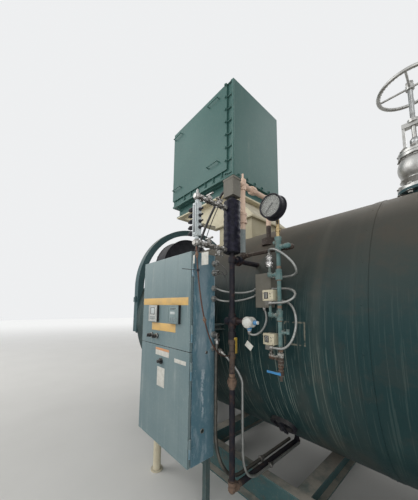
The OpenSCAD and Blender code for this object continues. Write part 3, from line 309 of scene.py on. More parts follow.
def startGroup(name, outs=("Mask",), **amounts):
    group = bpy.data.node_groups.new(name, "ShaderNodeTree")
    group.interface.new_socket("Vector", in_out="INPUT", socket_type="NodeSocketVector")
    for key, value in amounts.items():
        socket = group.interface.new_socket(key, in_out="INPUT", socket_type="NodeSocketFloat")
        socket.default_value = value
    for key in outs:
        kind = "NodeSocketColor" if key == "Color" else "NodeSocketFloat"
        group.interface.new_socket(key, in_out="OUTPUT", socket_type=kind)
    s = Shading(group)
    given = s.add("NodeGroupInput").outputs
    s.target = s.add("NodeGroupOutput")
    s.vector = given["Vector"]
    groups[name] = group
    return s, given


def startMaterial(name):
    material = bpy.data.materials.new(name)
    material.use_nodes = True
    s = Shading(material.node_tree, material.node_tree.nodes["Principled BSDF"])
    s.vector = s.add("ShaderNodeTexCoord").outputs["Object"]
    finishes[name] = material
    return s


def makePatchGroups():
    s, given = startGroup("tonePatches", Scale=3.0)
    s.give("Mask", s.rise(s.noise(given["Scale"], 5.0, 0.6), 0.35, 0.68))

    s, given = startGroup("topDust", Amount=0.5)
    facing = s.add("ShaderNodeSeparateXYZ", {0: s.add("ShaderNodeNewGeometry").outputs["Normal"]})
    flat = s.rise(facing.outputs["Z"], 0.15, 0.95)
    mottle = s.rise(s.noise(7.0, 6.0, 0.65), 0.25, 0.7)
    s.give("Mask", s.times(s.times(flat, s.plus(mottle, 0.25)), given["Amount"], True))

    s, given = startGroup("rustBlooms", ("Mask", "Color"), Scale=20.0, Amount=0.5)
    spots = s.rise(s.noise(given["Scale"], 8.0, 0.7, 0.3), 0.5, 0.64)
    s.give("Mask", s.times(spots, given["Amount"], True))
    s.give("Color", s.blend(s.noise(90.0, 4.0, 0.6), (0.09, 0.035, 0.015), (0.30, 0.13, 0.055)))

    s, given = startGroup("fineGrain", ("Height",), Scale=120.0)
    s.give("Height", s.plus(s.noise(given["Scale"], 3.0, 0.6), s.times(s.noise(9.0, 3.0, 0.5), 1.5)))


def makeWearGroups():
    s, given = startGroup("dripStreaks", Density=14.0, Amount=0.5)
    lines = s.rise(s.noise(given["Density"], 3.0, 0.75, stretch=(1.0, 1.0, 0.055)), 0.6, 0.72)
    breaks = s.rise(s.noise(2.2, 4.0, 0.6), 0.42, 0.62)
    s.give("Mask", s.times(s.times(lines, breaks), given["Amount"], True))

    s, given = startGroup("edgeWear", Radius=0.004, Amount=0.6)
    rounded = s.add("ShaderNodeBevel", {"Radius": given["Radius"]}, samples=4).outputs[0]
    plain = s.add("ShaderNodeNewGeometry").outputs["Normal"]
    agree = s.add("ShaderNodeVectorMath", {0: rounded, 1: plain}, operation="DOT_PRODUCT").outputs["Value"]
    rubbed = s.rise(s.noise(38.0, 5.0, 0.7), 0.42, 0.6)
    s.give("Mask", s.times(s.times(s.rise(agree, 0.985, 0.86), rubbed), given["Amount"], True))

    s, given = startGroup("scratches", Amount=0.4)
    leaning = s.add("ShaderNodeMapping", {"Vector": s.vector, "Rotation": (0.5, 0.6, 0.2)}).outputs[0]
    lines = s.rise(s.noise(1.0, 2.0, 0.5, 0.0, (60.0, 60.0, 2.0), leaning), 0.7, 0.76)
    where = s.rise(s.noise(5.0, 3.0, 0.6), 0.48, 0.6)
    chips = s.rise(s.noise(26.0, 7.0, 0.75), 0.66, 0.7)
    s.give("Mask", s.times(s.plus(s.times(lines, where), chips, True), given["Amount"], True))


makePatchGroups()
makeWearGroups()
dustTone = (0.36, 0.33, 0.28)


def paintedSteel(name, paint, faded, bare, dust=dustTone, rough=0.5, powder=0.5, drips=0.3, wearAndHighlight=0.5,
                 patch=3.0, chips=0.3, rust=0.0, grain=0.15, scrapes=None, repaint=None):
    s = startMaterial(name)
    color = s.blend(s.mask("tonePatches", Scale=patch), paint, faded)
    if repaint:
        color = repaint(s, color)
    fine = s.noise(55.0, 5.0, 0.7)
    color = s.blend(s.times(s.rise(fine, 0.5, 0.8), 0.22), color, dust)
    if scrapes:
        color = s.blend(scrapes(s), color, bare)
    color = s.blend(s.mask("scratches", Amount=chips), color, bare)
    color = s.blend(s.mask("edgeWear", Radius=0.004, Amount=wearAndHighlight), color, bare)
    if drips:
        color = s.blend(s.mask("dripStreaks", Density=14.0, Amount=drips), color, dust)
    if rust:
        blooms = s.use("rustBlooms", Scale=18.0, Amount=rust)
        color = s.blend(blooms["Mask"], color, blooms["Color"])
    layer = s.mask("topDust", Amount=powder)
    s.give("Base Color", s.blend(layer, color, dust))
    matt = s.plus(s.times(fine, 0.18), rough - 0.08)
    s.give("Roughness", s.plus(matt, s.times(layer, 0.3), True))
    s.give("Specular IOR Level", 0.17)
    s.bump(s.use("fineGrain", Scale=160.0)["Height"], grain, 0.002)


def bareMetal(name, metal, dirt, rough=0.35, grime=0.5, rust=0.0):
    s = startMaterial(name)
    color = s.blend(s.times(s.mask("tonePatches", Scale=22.0), grime), metal, dirt)
    s.give("Metallic", 0.9)
    if rust:
        blooms = s.use("rustBlooms", Scale=40.0, Amount=rust)
        color = s.blend(blooms["Mask"], color, blooms["Color"])
        s.give("Metallic", s.maths("SUBTRACT", 0.9, blooms["Mask"], True))
    layer = s.mask("topDust", Amount=0.35)
    s.give("Base Color", s.blend(layer, color, (0.30, 0.27, 0.22)))
    rub = s.noise(60.0, 4.0, 0.6, stretch=(1.0, 1.0, 8.0))
    s.give("Roughness", s.plus(s.plus(s.times(rub, 0.25), rough - 0.1), s.times(layer, 0.4), True))
    s.bump(rub, 0.1, 0.0008)


def mouldedPlastic(name, tint, soiled, rough=0.45, repaint=None):
    s = startMaterial(name)
    color = s.blend(s.times(s.mask("tonePatches", Scale=30.0), 0.6), tint, soiled)
    if repaint:
        color = repaint(s, color)
    color = s.blend(s.mask("edgeWear", Radius=0.0015, Amount=0.35), color, soiled)
    s.give("Base Color", s.blend(s.mask("topDust", Amount=0.4), color, (0.32, 0.29, 0.24)))
    speck = s.noise(420.0, 3.0, 0.6)
    s.give("Roughness", s.plus(s.times(speck, 0.12), rough, True))
    s.bump(speck, 0.12, 0.0004)


def sheetFinish(name, color, soiled, scale=24.0, rough=0.5, crease=60.0):
    s = startMaterial(name)
    s.give("Base Color", s.blend(s.mask("tonePatches", Scale=scale), color, soiled))
    s.give("Roughness", rough)
    s.bump(s.noise(crease, 4.0, 0.6), 0.2, 0.0005)


def scratchedFrame(s):
    outer = s.times(s.within("X", 0.017, 0.162), s.within("Z", 1.265, 1.416))
    inner = s.times(s.within("X", 0.025, 0.154), s.within("Z", 1.274, 1.407))
    rubbed = s.rise(s.noise(24.0, 5.0, 0.7), 0.42, 0.56)
    return s.times(s.times(s.maths("SUBTRACT", outer, inner, True), rubbed), s.rise("Y", -0.5, -0.6))


def jacketPaint():
    s = startMaterial("jacketPaint")
    level = s.wavy("Z", 0.5, 0.9, 4.0, 0.5)
    brown = s.rise(level, 1.35, 2.1)
    patches = s.mask("tonePatches", Scale=1.6)
    # painted shade: the lower side is a near-black teal, far darker than its paint, for the shade under the
    # shell; higher up it turns brown with dust and is palest at the very top
    shadedUnder = s.blend(patches, (0.012, 0.036, 0.038), (0.018, 0.046, 0.047))
    over = s.blend(patches, (0.068, 0.062, 0.050), (0.055, 0.054, 0.045))
    color = s.blend(s.rise(level, 2.0, 2.4), s.blend(brown, shadedUnder, over), (0.135, 0.120, 0.098))
    sheen = s.rise(s.noise(2.2, 4.0, 0.6, stretch=(1.0, 0.4, 0.4)), 0.5, 0.75)
    sheen = s.times(sheen, s.within("X", -0.6, 0.35, 0.25))
    color = s.blend(s.times(sheen, 0.4), color, (0.15, 0.10, 0.075))
    # thin pale runs that follow the side down
    course = (1.0, 0.016, 0.016)
    runs = s.rise(s.noise(105.0, 2.0, 0.6, 0.12, course), 0.62, 0.64)
    runs = s.larger(runs, s.rise(s.noise(190.0, 2.0, 0.7, 0.1, course), 0.64, 0.66))
    parts = s.times(s.rise(s.noise(1.3, 4.0, 0.6), 0.26, 0.44), s.rise("Z", 1.8, 1.2))
    nearControls = s.plus(s.rise("X", 0.5, -0.3), 0.14, True)
    runs = s.times(s.times(s.times(runs, parts), nearControls), 0.6)
    color = s.blend(runs, color, (0.24, 0.29, 0.25))
    broadRuns = s.rise(s.noise(7.0, 3.0, 0.6, stretch=course), 0.5, 0.8)
    color = s.blend(s.times(broadRuns, 0.22), color, (0.13, 0.125, 0.10))
    color = s.blend(scratchedFrame(s), color, (0.20, 0.19, 0.15))
    blooms = s.use("rustBlooms", Scale=6.0, Amount=0.05)
    s.give("Base Color", s.blend(blooms["Mask"], color, blooms["Color"]))
    s.give("Specular IOR Level", 0.16)
    speck = s.noise(70.0, 6.0, 0.7)
    s.give("Roughness", s.plus(s.plus(s.times(speck, 0.25), s.times(brown, 0.2)), 0.30, True))
    s.bump(s.plus(s.times(s.noise(1.6, 2.0, 0.5), 6.0), speck), 0.18, 0.004)


def sideScrapes(s):
    rubbed = s.rise(s.noise(9.0, 7.0, 0.7, stretch=(1.0, 2.2, 0.6)), 0.5, 0.68)
    spread = s.times(rubbed, s.plus(s.times(s.rise("Z", 1.0, 1.6), 0.5), 0.35))
    across = s.wavy("Y", 0.15, 16.0, 7.0, 0.8, stretch=(1.0, 1.0, 0.4))
    high = s.times(s.within(across, -1.385, -1.300, 0.02), s.within("Z", 1.05, 1.87, 0.06))
    high = s.times(high, s.plus(s.times(rubbed, 0.3), 0.32))
    low = s.times(s.within(across, -1.346, -1.322, 0.004), s.within("Z", 0.72, 1.06, 0.05))
    low = s.times(low, s.rise(s.noise(34.0, 5.0, 0.7), 0.38, 0.5))
    marks = s.larger(s.larger(spread, high), s.times(low, 0.85))
    return s.times(s.rise("X", -0.489, -0.486), marks)


def darkLowPipe(s, color):
    level = s.wavy("Z", 0.03, 30.0, 4.0, 0.6)
    far = s.rise("Y", -1.0, -0.98)
    galvanized = s.blend(s.noise(60.0, 4.0, 0.6), (0.15, 0.19, 0.20), (0.30, 0.32, 0.31))
    black = s.blend(s.noise(35.0, 5.0, 0.65), (0.022, 0.018, 0.017), (0.075, 0.055, 0.045))
    color = s.blend(s.rise(level, 2.125, 2.115), color, s.blend(far, galvanized, black))
    farDrop = s.times(far, s.rise(level, 2.25, 2.23))
    return s.blend(s.larger(farDrop, s.rise(level, 1.935, 1.925)), color, black)


def bareValve(s, color):
    mottle = s.noise(55.0, 5.0, 0.7)
    pale = s.blend(s.rise(mottle, 0.42, 0.58), (0.075, 0.070, 0.060), (0.42, 0.42, 0.39))
    brown = s.blend(mottle, (0.085, 0.062, 0.048), (0.04, 0.032, 0.028))
    bare = s.blend(s.rise("Z", 1.195, 1.188), pale, brown)
    return s.blend(s.times(s.rise("X", -0.6, -0.5), s.rise("Z", 1.262, 1.256)), color, bare)


def rustyJoints(s, color):
    union = s.within("Z", 0.932, 1.032, 0.003)
    foot = s.times(s.rise("Z", 0.36, 0.33), s.rise("Y", -1.13, -1.16))
    valveBody = s.times(s.within("Z", 1.045, 1.275, 0.004), 0.6)
    mottle = s.noise(45.0, 6.0, 0.7)
    coat = s.blend(mottle, (0.24, 0.18, 0.135), (0.11, 0.065, 0.045))
    coat = s.blend(valveBody, coat, (0.115, 0.090, 0.070))
    where = s.larger(s.larger(union, valveBody), foot)
    return s.blend(s.times(where, s.rise(mottle, 0.3, 0.55)), color, coat)


def skidLeg(s, color):
    tone = s.blend(s.noise(20.0, 4.0, 0.6), (0.050, 0.085, 0.088), (0.085, 0.115, 0.112))
    return s.blend(s.rise("X", -0.95, -0.85), color, tone)


def darkFeet(s, color):
    feet = s.larger(s.within("Z", 1.225, 1.2646, 0.0003), s.within("Z", 1.51, 1.5498, 0.0003))
    return s.blend(feet, color, s.blend(s.noise(80.0, 4.0, 0.6), (0.05, 0.05, 0.048), (0.20, 0.19, 0.16)))


def wipedStreaksAndHighlight(s, color):
    course = (1.0, 1.0, 0.02)
    pale = s.rise(s.noise(38.0, 4.0, 0.7, stretch=course), 0.45, 0.8)
    dark = s.rise(s.noise(19.0, 5.0, 0.75, 0.2, course), 0.5, 0.75)
    color = s.blend(s.times(pale, 0.30), color, (0.30, 0.36, 0.35))
    # painted highlight: the doors turn paler towards the top, for light reflected off their upper part; the
    # pale and dark streaks are wipe marks
    color = s.blend(s.times(s.rise("Z", 1.5, 1.95), 0.45), color, (0.30, 0.37, 0.37))
    return s.blend(s.times(dark, 0.30), color, (0.060, 0.090, 0.100))


def clearGlass():
    s = startMaterial("clearGlass")
    s.give("Base Color", (0.36, 0.37, 0.35))
    smear = s.noise(14.0, 3.0, 0.6)
    s.give("Alpha", s.plus(s.times(smear, 0.16), 0.03))
    s.give("Roughness", s.times(smear, 0.30))


def wrappedCover():
    s = startMaterial("wrappedCover")
    tone = s.noise(26.0, 6.0, 0.65)
    color = s.blend(s.rise(tone, 0.4, 0.7), (0.006, 0.006, 0.012), (0.020, 0.019, 0.034))
    flecks = s.rise(s.noise(150.0, 4.0, 0.7), 0.66, 0.72)
    color = s.blend(s.times(flecks, 0.4), color, (0.16, 0.15, 0.19))
    s.give("Specular IOR Level", 0.12)
    s.give("Base Color", s.blend(s.mask("topDust", Amount=0.2), color, (0.2, 0.18, 0.16)))
    s.give("Roughness", s.plus(s.times(tone, 0.3), 0.25))
    s.bump(s.noise(40.0, 5.0, 0.6, stretch=(1.0, 1.0, 3.0)), 0.35, 0.003)


# materials: paint, faded paint and bare edges (on the lips, pale edges that are painted highlights), or
# colour and dirt

jacketPaint()
paintedSteel("skidPaint", (0.055, 0.120, 0.125), (0.080, 0.145, 0.145), (0.30, 0.30, 0.27), rough=0.6,
             powder=0.9, drips=0.2, rust=0.25)
paintedSteel("casingPaint", (0.042, 0.110, 0.099), (0.052, 0.126, 0.113), (0.15, 0.27, 0.25), rough=0.42,
             powder=0.55, drips=0.10, wearAndHighlight=0.25, patch=1.2, chips=0.08, grain=0.08)
# on the lips the pale teal edge colour, laid on by edge wear at full amount, is a painted highlight along the
# lip edges
paintedSteel("lipPaintEdgeHighlight", (0.044, 0.114, 0.102), (0.058, 0.135, 0.120), (0.30, 0.42, 0.39), rough=0.4,
             powder=0.55, drips=0.1, wearAndHighlight=1.0, patch=4.0, chips=0.15)
paintedSteel("headPaint", (0.042, 0.084, 0.092), (0.060, 0.113, 0.121), (0.42, 0.46, 0.45), powder=0.6,
             wearAndHighlight=0.45)
paintedSteel("cabinetPaint", (0.088, 0.178, 0.225), (0.115, 0.210, 0.255), (0.42, 0.49, 0.53),
             (0.40, 0.44, 0.44), rough=0.45, drips=0.5, wearAndHighlight=0.9, patch=2.2, scrapes=sideScrapes)
# the door paint is a paler, greyer copy of the cabinet paint, painted lighter for the light falling on the
# door fronts
paintedSteel("litDoorPaint", (0.142, 0.205, 0.218), (0.185, 0.245, 0.250), (0.44, 0.50, 0.52),
             (0.42, 0.44, 0.42), rough=0.38, drips=0.5, wearAndHighlight=0.9, patch=1.8, chips=0.2, repaint=wipedStreaksAndHighlight)
paintedSteel("khakiPaint", (0.40, 0.36, 0.25), (0.47, 0.43, 0.31), (0.5, 0.47, 0.38), rough=0.7, powder=0.7,
             drips=0.35, wearAndHighlight=0.4)
paintedSteel("creamPaint", (0.62, 0.57, 0.42), (0.55, 0.50, 0.36), (0.40, 0.33, 0.24), rough=0.6, powder=0.6,
             drips=0.4, wearAndHighlight=0.4, rust=0.12)
paintedSteel("standPaint", (0.60, 0.55, 0.41), (0.52, 0.47, 0.34), (0.40, 0.33, 0.24), rough=0.6, powder=0.6,
             drips=0.4, wearAndHighlight=0.4, rust=0.12, repaint=skidLeg)
paintedSteel("blackIron", (0.012, 0.013, 0.018), (0.026, 0.026, 0.033), (0.16, 0.15, 0.16),
             (0.16, 0.15, 0.13),
             rough=0.45, powder=0.4, drips=0.0, wearAndHighlight=0.4, patch=9.0, chips=0.12, grain=0.3)
paintedSteel("rustyPipe", (0.010, 0.011, 0.018), (0.024, 0.021, 0.024), (0.11, 0.085, 0.07),
             (0.075, 0.068, 0.065),
             rough=0.55, powder=0.25, drips=0.2, wearAndHighlight=0.4, patch=11.0, chips=0.2, rust=0.18, grain=0.3,
             repaint=rustyJoints)
paintedSteel("rustyFitting", (0.15, 0.095, 0.070), (0.26, 0.17, 0.12), (0.34, 0.26, 0.19), (0.30, 0.24, 0.18),
             rough=0.6, drips=0.2, patch=14.0, rust=0.4, grain=0.3)
paintedSteel("peachPaint", (0.72, 0.54, 0.42), (0.62, 0.45, 0.35), (0.42, 0.33, 0.27), (0.55, 0.50, 0.43),
             rough=0.6, drips=0.2, patch=14.0, chips=0.25, repaint=darkLowPipe)
paintedSteel("manifoldPaint", (0.085, 0.165, 0.165), (0.150, 0.225, 0.215), (0.36, 0.38, 0.34), wearAndHighlight=0.8,
             patch=26.0, chips=0.5, rust=0.28, repaint=bareValve)
paintedSteel("olivePaint", (0.145, 0.138, 0.116), (0.17, 0.162, 0.136), (0.36, 0.34, 0.29), rough=0.6,
             powder=0.6, drips=0.15, wearAndHighlight=0.4, patch=8.0)
paintedSteel("glassBody", (0.50, 0.55, 0.56), (0.58, 0.62, 0.63), (0.22, 0.22, 0.21), rough=0.35, powder=0.4,
             drips=0.2, patch=18.0)
bareMetal("agedBrass", (0.38, 0.29, 0.15), (0.16, 0.12, 0.07), 0.4, 0.6, 0.1)
bareMetal("silverPaint", (0.50, 0.50, 0.48), (0.29, 0.28, 0.265), 0.4, 0.6, 0.06)
bareMetal("dullSteel", (0.30, 0.30, 0.285), (0.11, 0.10, 0.085), 0.42, 0.8, 0.25)
bareMetal("valveSteel", (0.38, 0.375, 0.36), (0.125, 0.112, 0.095), 0.38, 0.8, 0.15)
bareMetal("brightSteel", (0.44, 0.45, 0.45), (0.20, 0.20, 0.19), 0.34, 0.6)
bareMetal("conduitSteel", (0.35, 0.36, 0.35), (0.21, 0.21, 0.19), 0.5)
bareMetal("sootyConduit", (0.085, 0.085, 0.080), (0.19, 0.18, 0.15), 0.55)
bareMetal("agedCopper", (0.15, 0.085, 0.068), (0.075, 0.060, 0.055), 0.5, 0.7, 0.2)
bareMetal("crumpledFoil", (0.62, 0.61, 0.60), (0.34, 0.31, 0.27), 0.2, 0.4)
mouldedPlastic("creamBox", (0.60, 0.55, 0.40), (0.42, 0.37, 0.27), repaint=darkFeet)
mouldedPlastic("greyBezel", (0.24, 0.29, 0.30), (0.16, 0.18, 0.18))
mouldedPlastic("paleBezel", (0.50, 0.51, 0.49), (0.34, 0.34, 0.32))
mouldedPlastic("tealBezel", (0.20, 0.27, 0.275), (0.13, 0.17, 0.17))
mouldedPlastic("whiteHousing", (0.66, 0.66, 0.62), (0.46, 0.44, 0.39))
mouldedPlastic("blackKnob", (0.010, 0.010, 0.012), (0.028, 0.028, 0.028), 0.35)
mouldedPlastic("blackRubber", (0.022, 0.022, 0.026), (0.07, 0.065, 0.06), 0.5)
mouldedPlastic("yellowGrip", (0.40, 0.27, 0.035), (0.16, 0.11, 0.05), 0.4)
mouldedPlastic("blueGrip", (0.035, 0.24, 0.52), (0.05, 0.15, 0.28), 0.35)
mouldedPlastic("printedMarks", (0.030, 0.030, 0.032), (0.06, 0.06, 0.06), 0.6)
sheetFinish("paleScreen", (0.50, 0.54, 0.53), (0.42, 0.46, 0.45), 20.0, 0.25, 10.0)
# the dark screen finish is also the painted shade in the open knockout
sheetFinish("darkScreenAndShade", (0.020, 0.030, 0.030), (0.038, 0.048, 0.045), 12.0, 0.2, 10.0)
sheetFinish("wornTape", (0.66, 0.42, 0.14), (0.56, 0.37, 0.15), 14.0, 0.6, 30.0)
sheetFinish("agedPaper", (0.60, 0.59, 0.54), (0.47, 0.46, 0.41))
sheetFinish("fadedOrange", (0.62, 0.27, 0.10), (0.54, 0.28, 0.15))
sheetFinish("dialFace", (0.215, 0.22, 0.20), (0.175, 0.175, 0.155), 9.0, 0.5, 20.0)
wrappedCover()
clearGlass()

nodeFinish = {
    "skidPaint": "skid_rails skid_cross_beams saddles",
    "jacketPaint": "boiler_shell jacket_bands",
    "headPaint": "front_head front_arch burner_housing rear_door steam_nozzle",
    "casingPaint": "economizer_frame economizer_casing access_panel panel_handles",
    "cabinetPaint": "cabinet_body cabinet_hinge_pins",
    "litDoorPaint": "upper_door lower_door",
    "khakiPaint": "flue_outlet",
    "creamPaint": "flue_transition",
    "standPaint": "cabinet_stand",
    "blackIron": "fan_housing water_column disconnect_switch pressure_gauge handhole_cover",
    "olivePaint": "junction_box column_switch",
    "rustyPipe": "column_drain_pipe",
    "agedCopper": "gauge_drain_tube",
    "peachPaint": "steam_equalizing_pipe",
    "manifoldPaint": "control_manifold fan_motor",
    "silverPaint": "stack_collar steam_stop_valve steam_handwheel cabinet_glands",
    "valveSteel": "gauge_valves", "glassBody": "gauge_glass",
    "brightSteel": "pressure_sensor",
    "conduitSteel": "control_conduits",
    "blackRubber": "drop_conduit",
    "creamBox": "pressure_controls",
    "blackKnob": "door_instruments door_latch",
    "whiteHousing": "pressure_transmitter",
    "yellowGrip": "drain_valve_lever",
    "blueGrip": "manifold_valve_lever",
}
for finish, names in nodeFinish.items():
    for name in names.split():
        for materialSlot in nodes[name].material_slots:
            materialSlot.material = finishes[finish]
print("materials: done")

# camera, light and floor

view = {
    "place": (0.85, -2.462, 1.5),
    "yaw": 48.57,       # degrees from +Y towards -X
    "pitch": 6.51,
    "roll": 0.66,
    "focal": 228.2,     # in pixels of a picture 418 wide
    "width": 418,
    "horizonDrop": 31.6,
}
lamps = [("windowLight", (-6.0, -6.5, 6.5), 6.0, 360.0), ("fillLight", (4.5, -6.0, 3.0), 6.0, 190.0),
         ("backLight", (1.0, 7.0, 7.0), 7.0, 280.0)]
paleSky = (0.93, 0.94, 0.95)


def setCamera():
    lens = bpy.data.cameras.new("camera")
    lens.sensor_fit = "HORIZONTAL"
    lens.sensor_width = 36.0
    lens.lens = view["focal"] * lens.sensor_width / view["width"]
    lens.shift_y = view["horizonDrop"] / view["width"]
    lens.clip_start = 0.05
    camera = bpy.data.objects.new("camera", lens)
    camera.matrix_world = (placed(*view["place"]) @ turned("Z", view["yaw"])
                           @ turned("X", 90 + view["pitch"]) @ turned("Z", view["roll"]))
    scene.collection.objects.link(camera)
    scene.camera = camera


def hangLamps():
    middle = at(-0.6, 0.0, 1.6)
    for name, spot, size, power in lamps:
        lamp = bpy.data.lights.new(name, "AREA")
        lamp.shape = "SQUARE"
        lamp.size = size
        lamp.energy = power
        holder = bpy.data.objects.new(name, lamp)
        holder.location = spot
        holder.rotation_euler = (middle - Vector(spot)).to_track_quat("-Z", "Y").to_euler()
        scene.collection.objects.link(holder)


def setWorld():
    world = bpy.data.worlds.new("studio")
    scene.world = world
    world.use_nodes = True
    s = Shading(world.node_tree, world.node_tree.nodes["Background"])
    rays = s.add("ShaderNodeLightPath").outputs
    seen = s.larger(rays["Is Camera Ray"], s.larger(rays["Is Glossy Ray"], rays["Is Transmission Ray"]))
    s.give("Color", paleSky)
    s.give("Strength", s.plus(s.times(seen, 0.42), 0.50))


def layFloor():
    bm = bmesh.new()
    bmesh.ops.create_grid(bm, x_segments=1, y_segments=1, size=30.0)
    bmesh.ops.translate(bm, vec=(0, 0, -0.001), verts=bm.verts)
    mesh = bpy.data.meshes.new("floor")
    bm.to_mesh(mesh)
    bm.free()
    floor = bpy.data.objects.new("floor", mesh)
    scene.collection.objects.link(floor)
    s = startMaterial("paleFloor")
    s.give("Base Color", s.blend(s.noise(1.5, 4.0, 0.6), (0.60, 0.59, 0.56), (0.67, 0.66, 0.63)))
    # the far floor fades into the background
    away = s.add("ShaderNodeVectorMath", {0: s.vector}, operation="LENGTH").outputs["Value"]
    s.give("Emission Color", s.blend(s.rise(away, 3.0, 22.0), (0.0, 0.0, 0.0), paleSky))
    s.give("Emission Strength", 0.6)
    s.give("Roughness", 0.85)
    mesh.materials.append(finishes["paleFloor"])


setCamera()
hangLamps()
setWorld()
layFloor()
print("camera, light and floor: done")

# places that several pieces share

shellAxis = 1.34
steamX = 0.66
cabinetSide = -0.4855   # the cabinet's right side
glandY = -1.236
columnX, columnY = -0.297, -1.222
glassY = -1.562
gaugeValveZs = (1.921, 2.239)
manifoldX, manifoldY = 0.040, -1.135
manifoldLow, manifoldLong = 1.158, 0.777
gap = 0.0003            # between a piece and its seat

# economizer: raised lips beside the panel, bolts between lip and panel, handle feet

economizer = {"bolt": 0.026, "pitch": 0.181, "firstBolt": 0.055, "lip": 0.030, "lipOut": 0.022,
              "stripBolts": (-1.997, -1.826, -1.656, -1.488, -1.322, -1.159), "foot": 0.014, "margin": 0.06,
              "stack": (-1.625, 0.326), "handleHalf": 0.1015}


def dressEconomizer():
    low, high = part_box("economizer_casing")
    panelLow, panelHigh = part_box("access_panel")
    front, middle = low[1], (low[2] + high[2]) / 2
    lip, out, across = economizer["lip"], economizer["lipOut"], economizer["bolt"]
    bm = bmesh.new()
    addBox(bm, (lip, out, high[2] - low[2]), (high[0] - lip / 2, front - out / 2, middle), 0.003)
    addBox(bm, (high[0] - low[0] - lip, out, lip),
           ((low[0] + high[0] - lip) / 2, front - out / 2, low[2] + lip / 2), 0.003)
    for side, stand in ((low[1], -0.0005), (high[1], 0.004)):
        for end, inward in ((low[0], 0.025), (high[0], -0.025)):
            addBox(bm, (0.05, 0.006, high[2] - low[2] - 0.01), (end + inward, side + stand, middle), 0.002)
    finishPiece("economizer_lips", bm, "lipPaintEdgeHighlight")
    bm = bmesh.new()
    boltY = front - out * 0.55
    for i in range(8):
        z = low[2] + economizer["firstBolt"] + i * economizer["pitch"]
        addRod(bm, across * 0.32, high[0] - lip - panelHigh[0], (panelHigh[0], boltY, z), alongX, 10)
        addHexHead(bm, across, across * 0.6, (high[0] - lip, boltY, z), againstX)
        addBolt(bm, across, (panelHigh[0] - 0.018, panelLow[1], z), towardsFront)
    for x in economizer["stripBolts"]:
        addRod(bm, across * 0.32, panelLow[2] - low[2] - lip, (x, boltY, low[2] + lip), upright, 10)
        addHexHead(bm, across, across * 0.6, (x, boltY, low[2] + lip), upright)
    margin = economizer["margin"]
    for z in (low[2] + margin, high[2] - margin):
        boltRow(bm, across, (low[0] + margin, high[1], z), (high[0] - margin, high[1], z), 9, alongY)
    for end, turn in ((low[0], againstX), (high[0], alongX)):
        boltZ = low[2] + 0.03
        boltRow(bm, across, (end, low[1] + 0.08, boltZ), (end, high[1] - 0.08, boltZ), 6, turn)
    stackX, stackRadius = economizer["stack"]
    boltRing(bm, across * 0.9, stackRadius, 12, (stackX, 0, high[2] + 0.008))
    finishPiece("economizer_bolts", bm, "casingPaint")
    bm = bmesh.new()
    foot, half = economizer["foot"], economizer["handleHalf"]
    handleLow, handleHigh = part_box("panel_handles")
    for x in (handleLow[0] + half + 0.006, handleHigh[0] - half - 0.006):
        for z in (handleLow[2] + 0.006, handleHigh[2] - 0.006):
            for side in (-half, half):
                addRing(bm, [(0.006, 0.006), (foot, 0.004), (foot, -0.001), (0.0, -0.001), (0.0, 0.006)],
                        (x + side, panelLow[1], z), towardsFront, 16)
    finishPiece("handle_feet", bm, "casingPaint")


dressEconomizer()

# bolts of the flanges on the flue, the steam outlet, the heads, the arch and the skid

flanges = {"flue": 0.022, "steam": 0.030, "steamRing": 0.12, "bonnetRing": 0.103, "head": 0.036,
           "headRing": 0.962, "door": (0.024, 0.255), "rearRing": 1.025, "inspection": (0.020, 0.112),
           "arch": (-2.355, 1.640, 1.015),
           "anchor": 0.036, "beam": 0.028}


def boltFlue():
    bm = bmesh.new()
    low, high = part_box("flue_outlet")
    rim = 0.02
    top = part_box("flue_transition")[0][2] + rim
    for y in (low[1] + rim, high[1] - rim):
        boltRow(bm, flanges["flue"], (low[0] + 0.03, y, top), (high[0] - 0.03, y, top), 7)
    finishPiece("flue_bolts", bm, "creamPaint")
    bm = bmesh.new()
    low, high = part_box("economizer_frame")
    for y, turn, inward in ((low[1], towardsFront, 0.049), (high[1], alongY, -0.049)):
        for x in (low[0] + 0.05, high[0] - 0.05):
            for z in (low[2] + 0.045, high[2] - 0.045):
                addBolt(bm, flanges["flue"], (x, y + inward, z), turn)
    finishPiece("frame_bolts", bm, "casingPaint")


def boltSteamValve():
    bm = bmesh.new()
    rings = ((flanges["steam"], flanges["steamRing"], 2.504, 2.456, 22.5),
             (flanges["steam"] * 0.85, flanges["bonnetRing"], 2.814, 2.766, 0.0))
    for across, ring, top, bottom, start in rings:
        boltRing(bm, across, ring, 8, (steamX, 0, top), start=start)
        boltRing(bm, across, ring, 8, (steamX, 0, bottom), downward, start)
    boltRow(bm, 0.02, (steamX - 0.066, -0.022, 2.86), (steamX + 0.066, -0.022, 2.86), 2, towardsFront)
    addHexHead(bm, 0.05, 0.03, (steamX, 0, 3.431))
    finishPiece("steam_valve_bolts", bm, "dullSteel")
    bm = bmesh.new()
    root, crest, pitch = 0.0162, 0.0185, 0.01
    threads = [(root, 0.0)]
    for i in range(27):
        threads += [(crest, 0.004 + i * pitch), (root, 0.009 + i * pitch)]
    addRing(bm, threads + [(0.0, 0.273), (0.0, 0.0)], (steamX, 0, 3.117), upright, 20)
    addRing(bm, [(0.03, 0.0), (0.034, 0.01), (0.034, 0.03), (0.024, 0.045), (0.0, 0.045), (0.0, 0.0)],
            (steamX, 0, 2.894), upright, 24)
    finishPiece("valve_stem_thread", bm, "brightSteel")


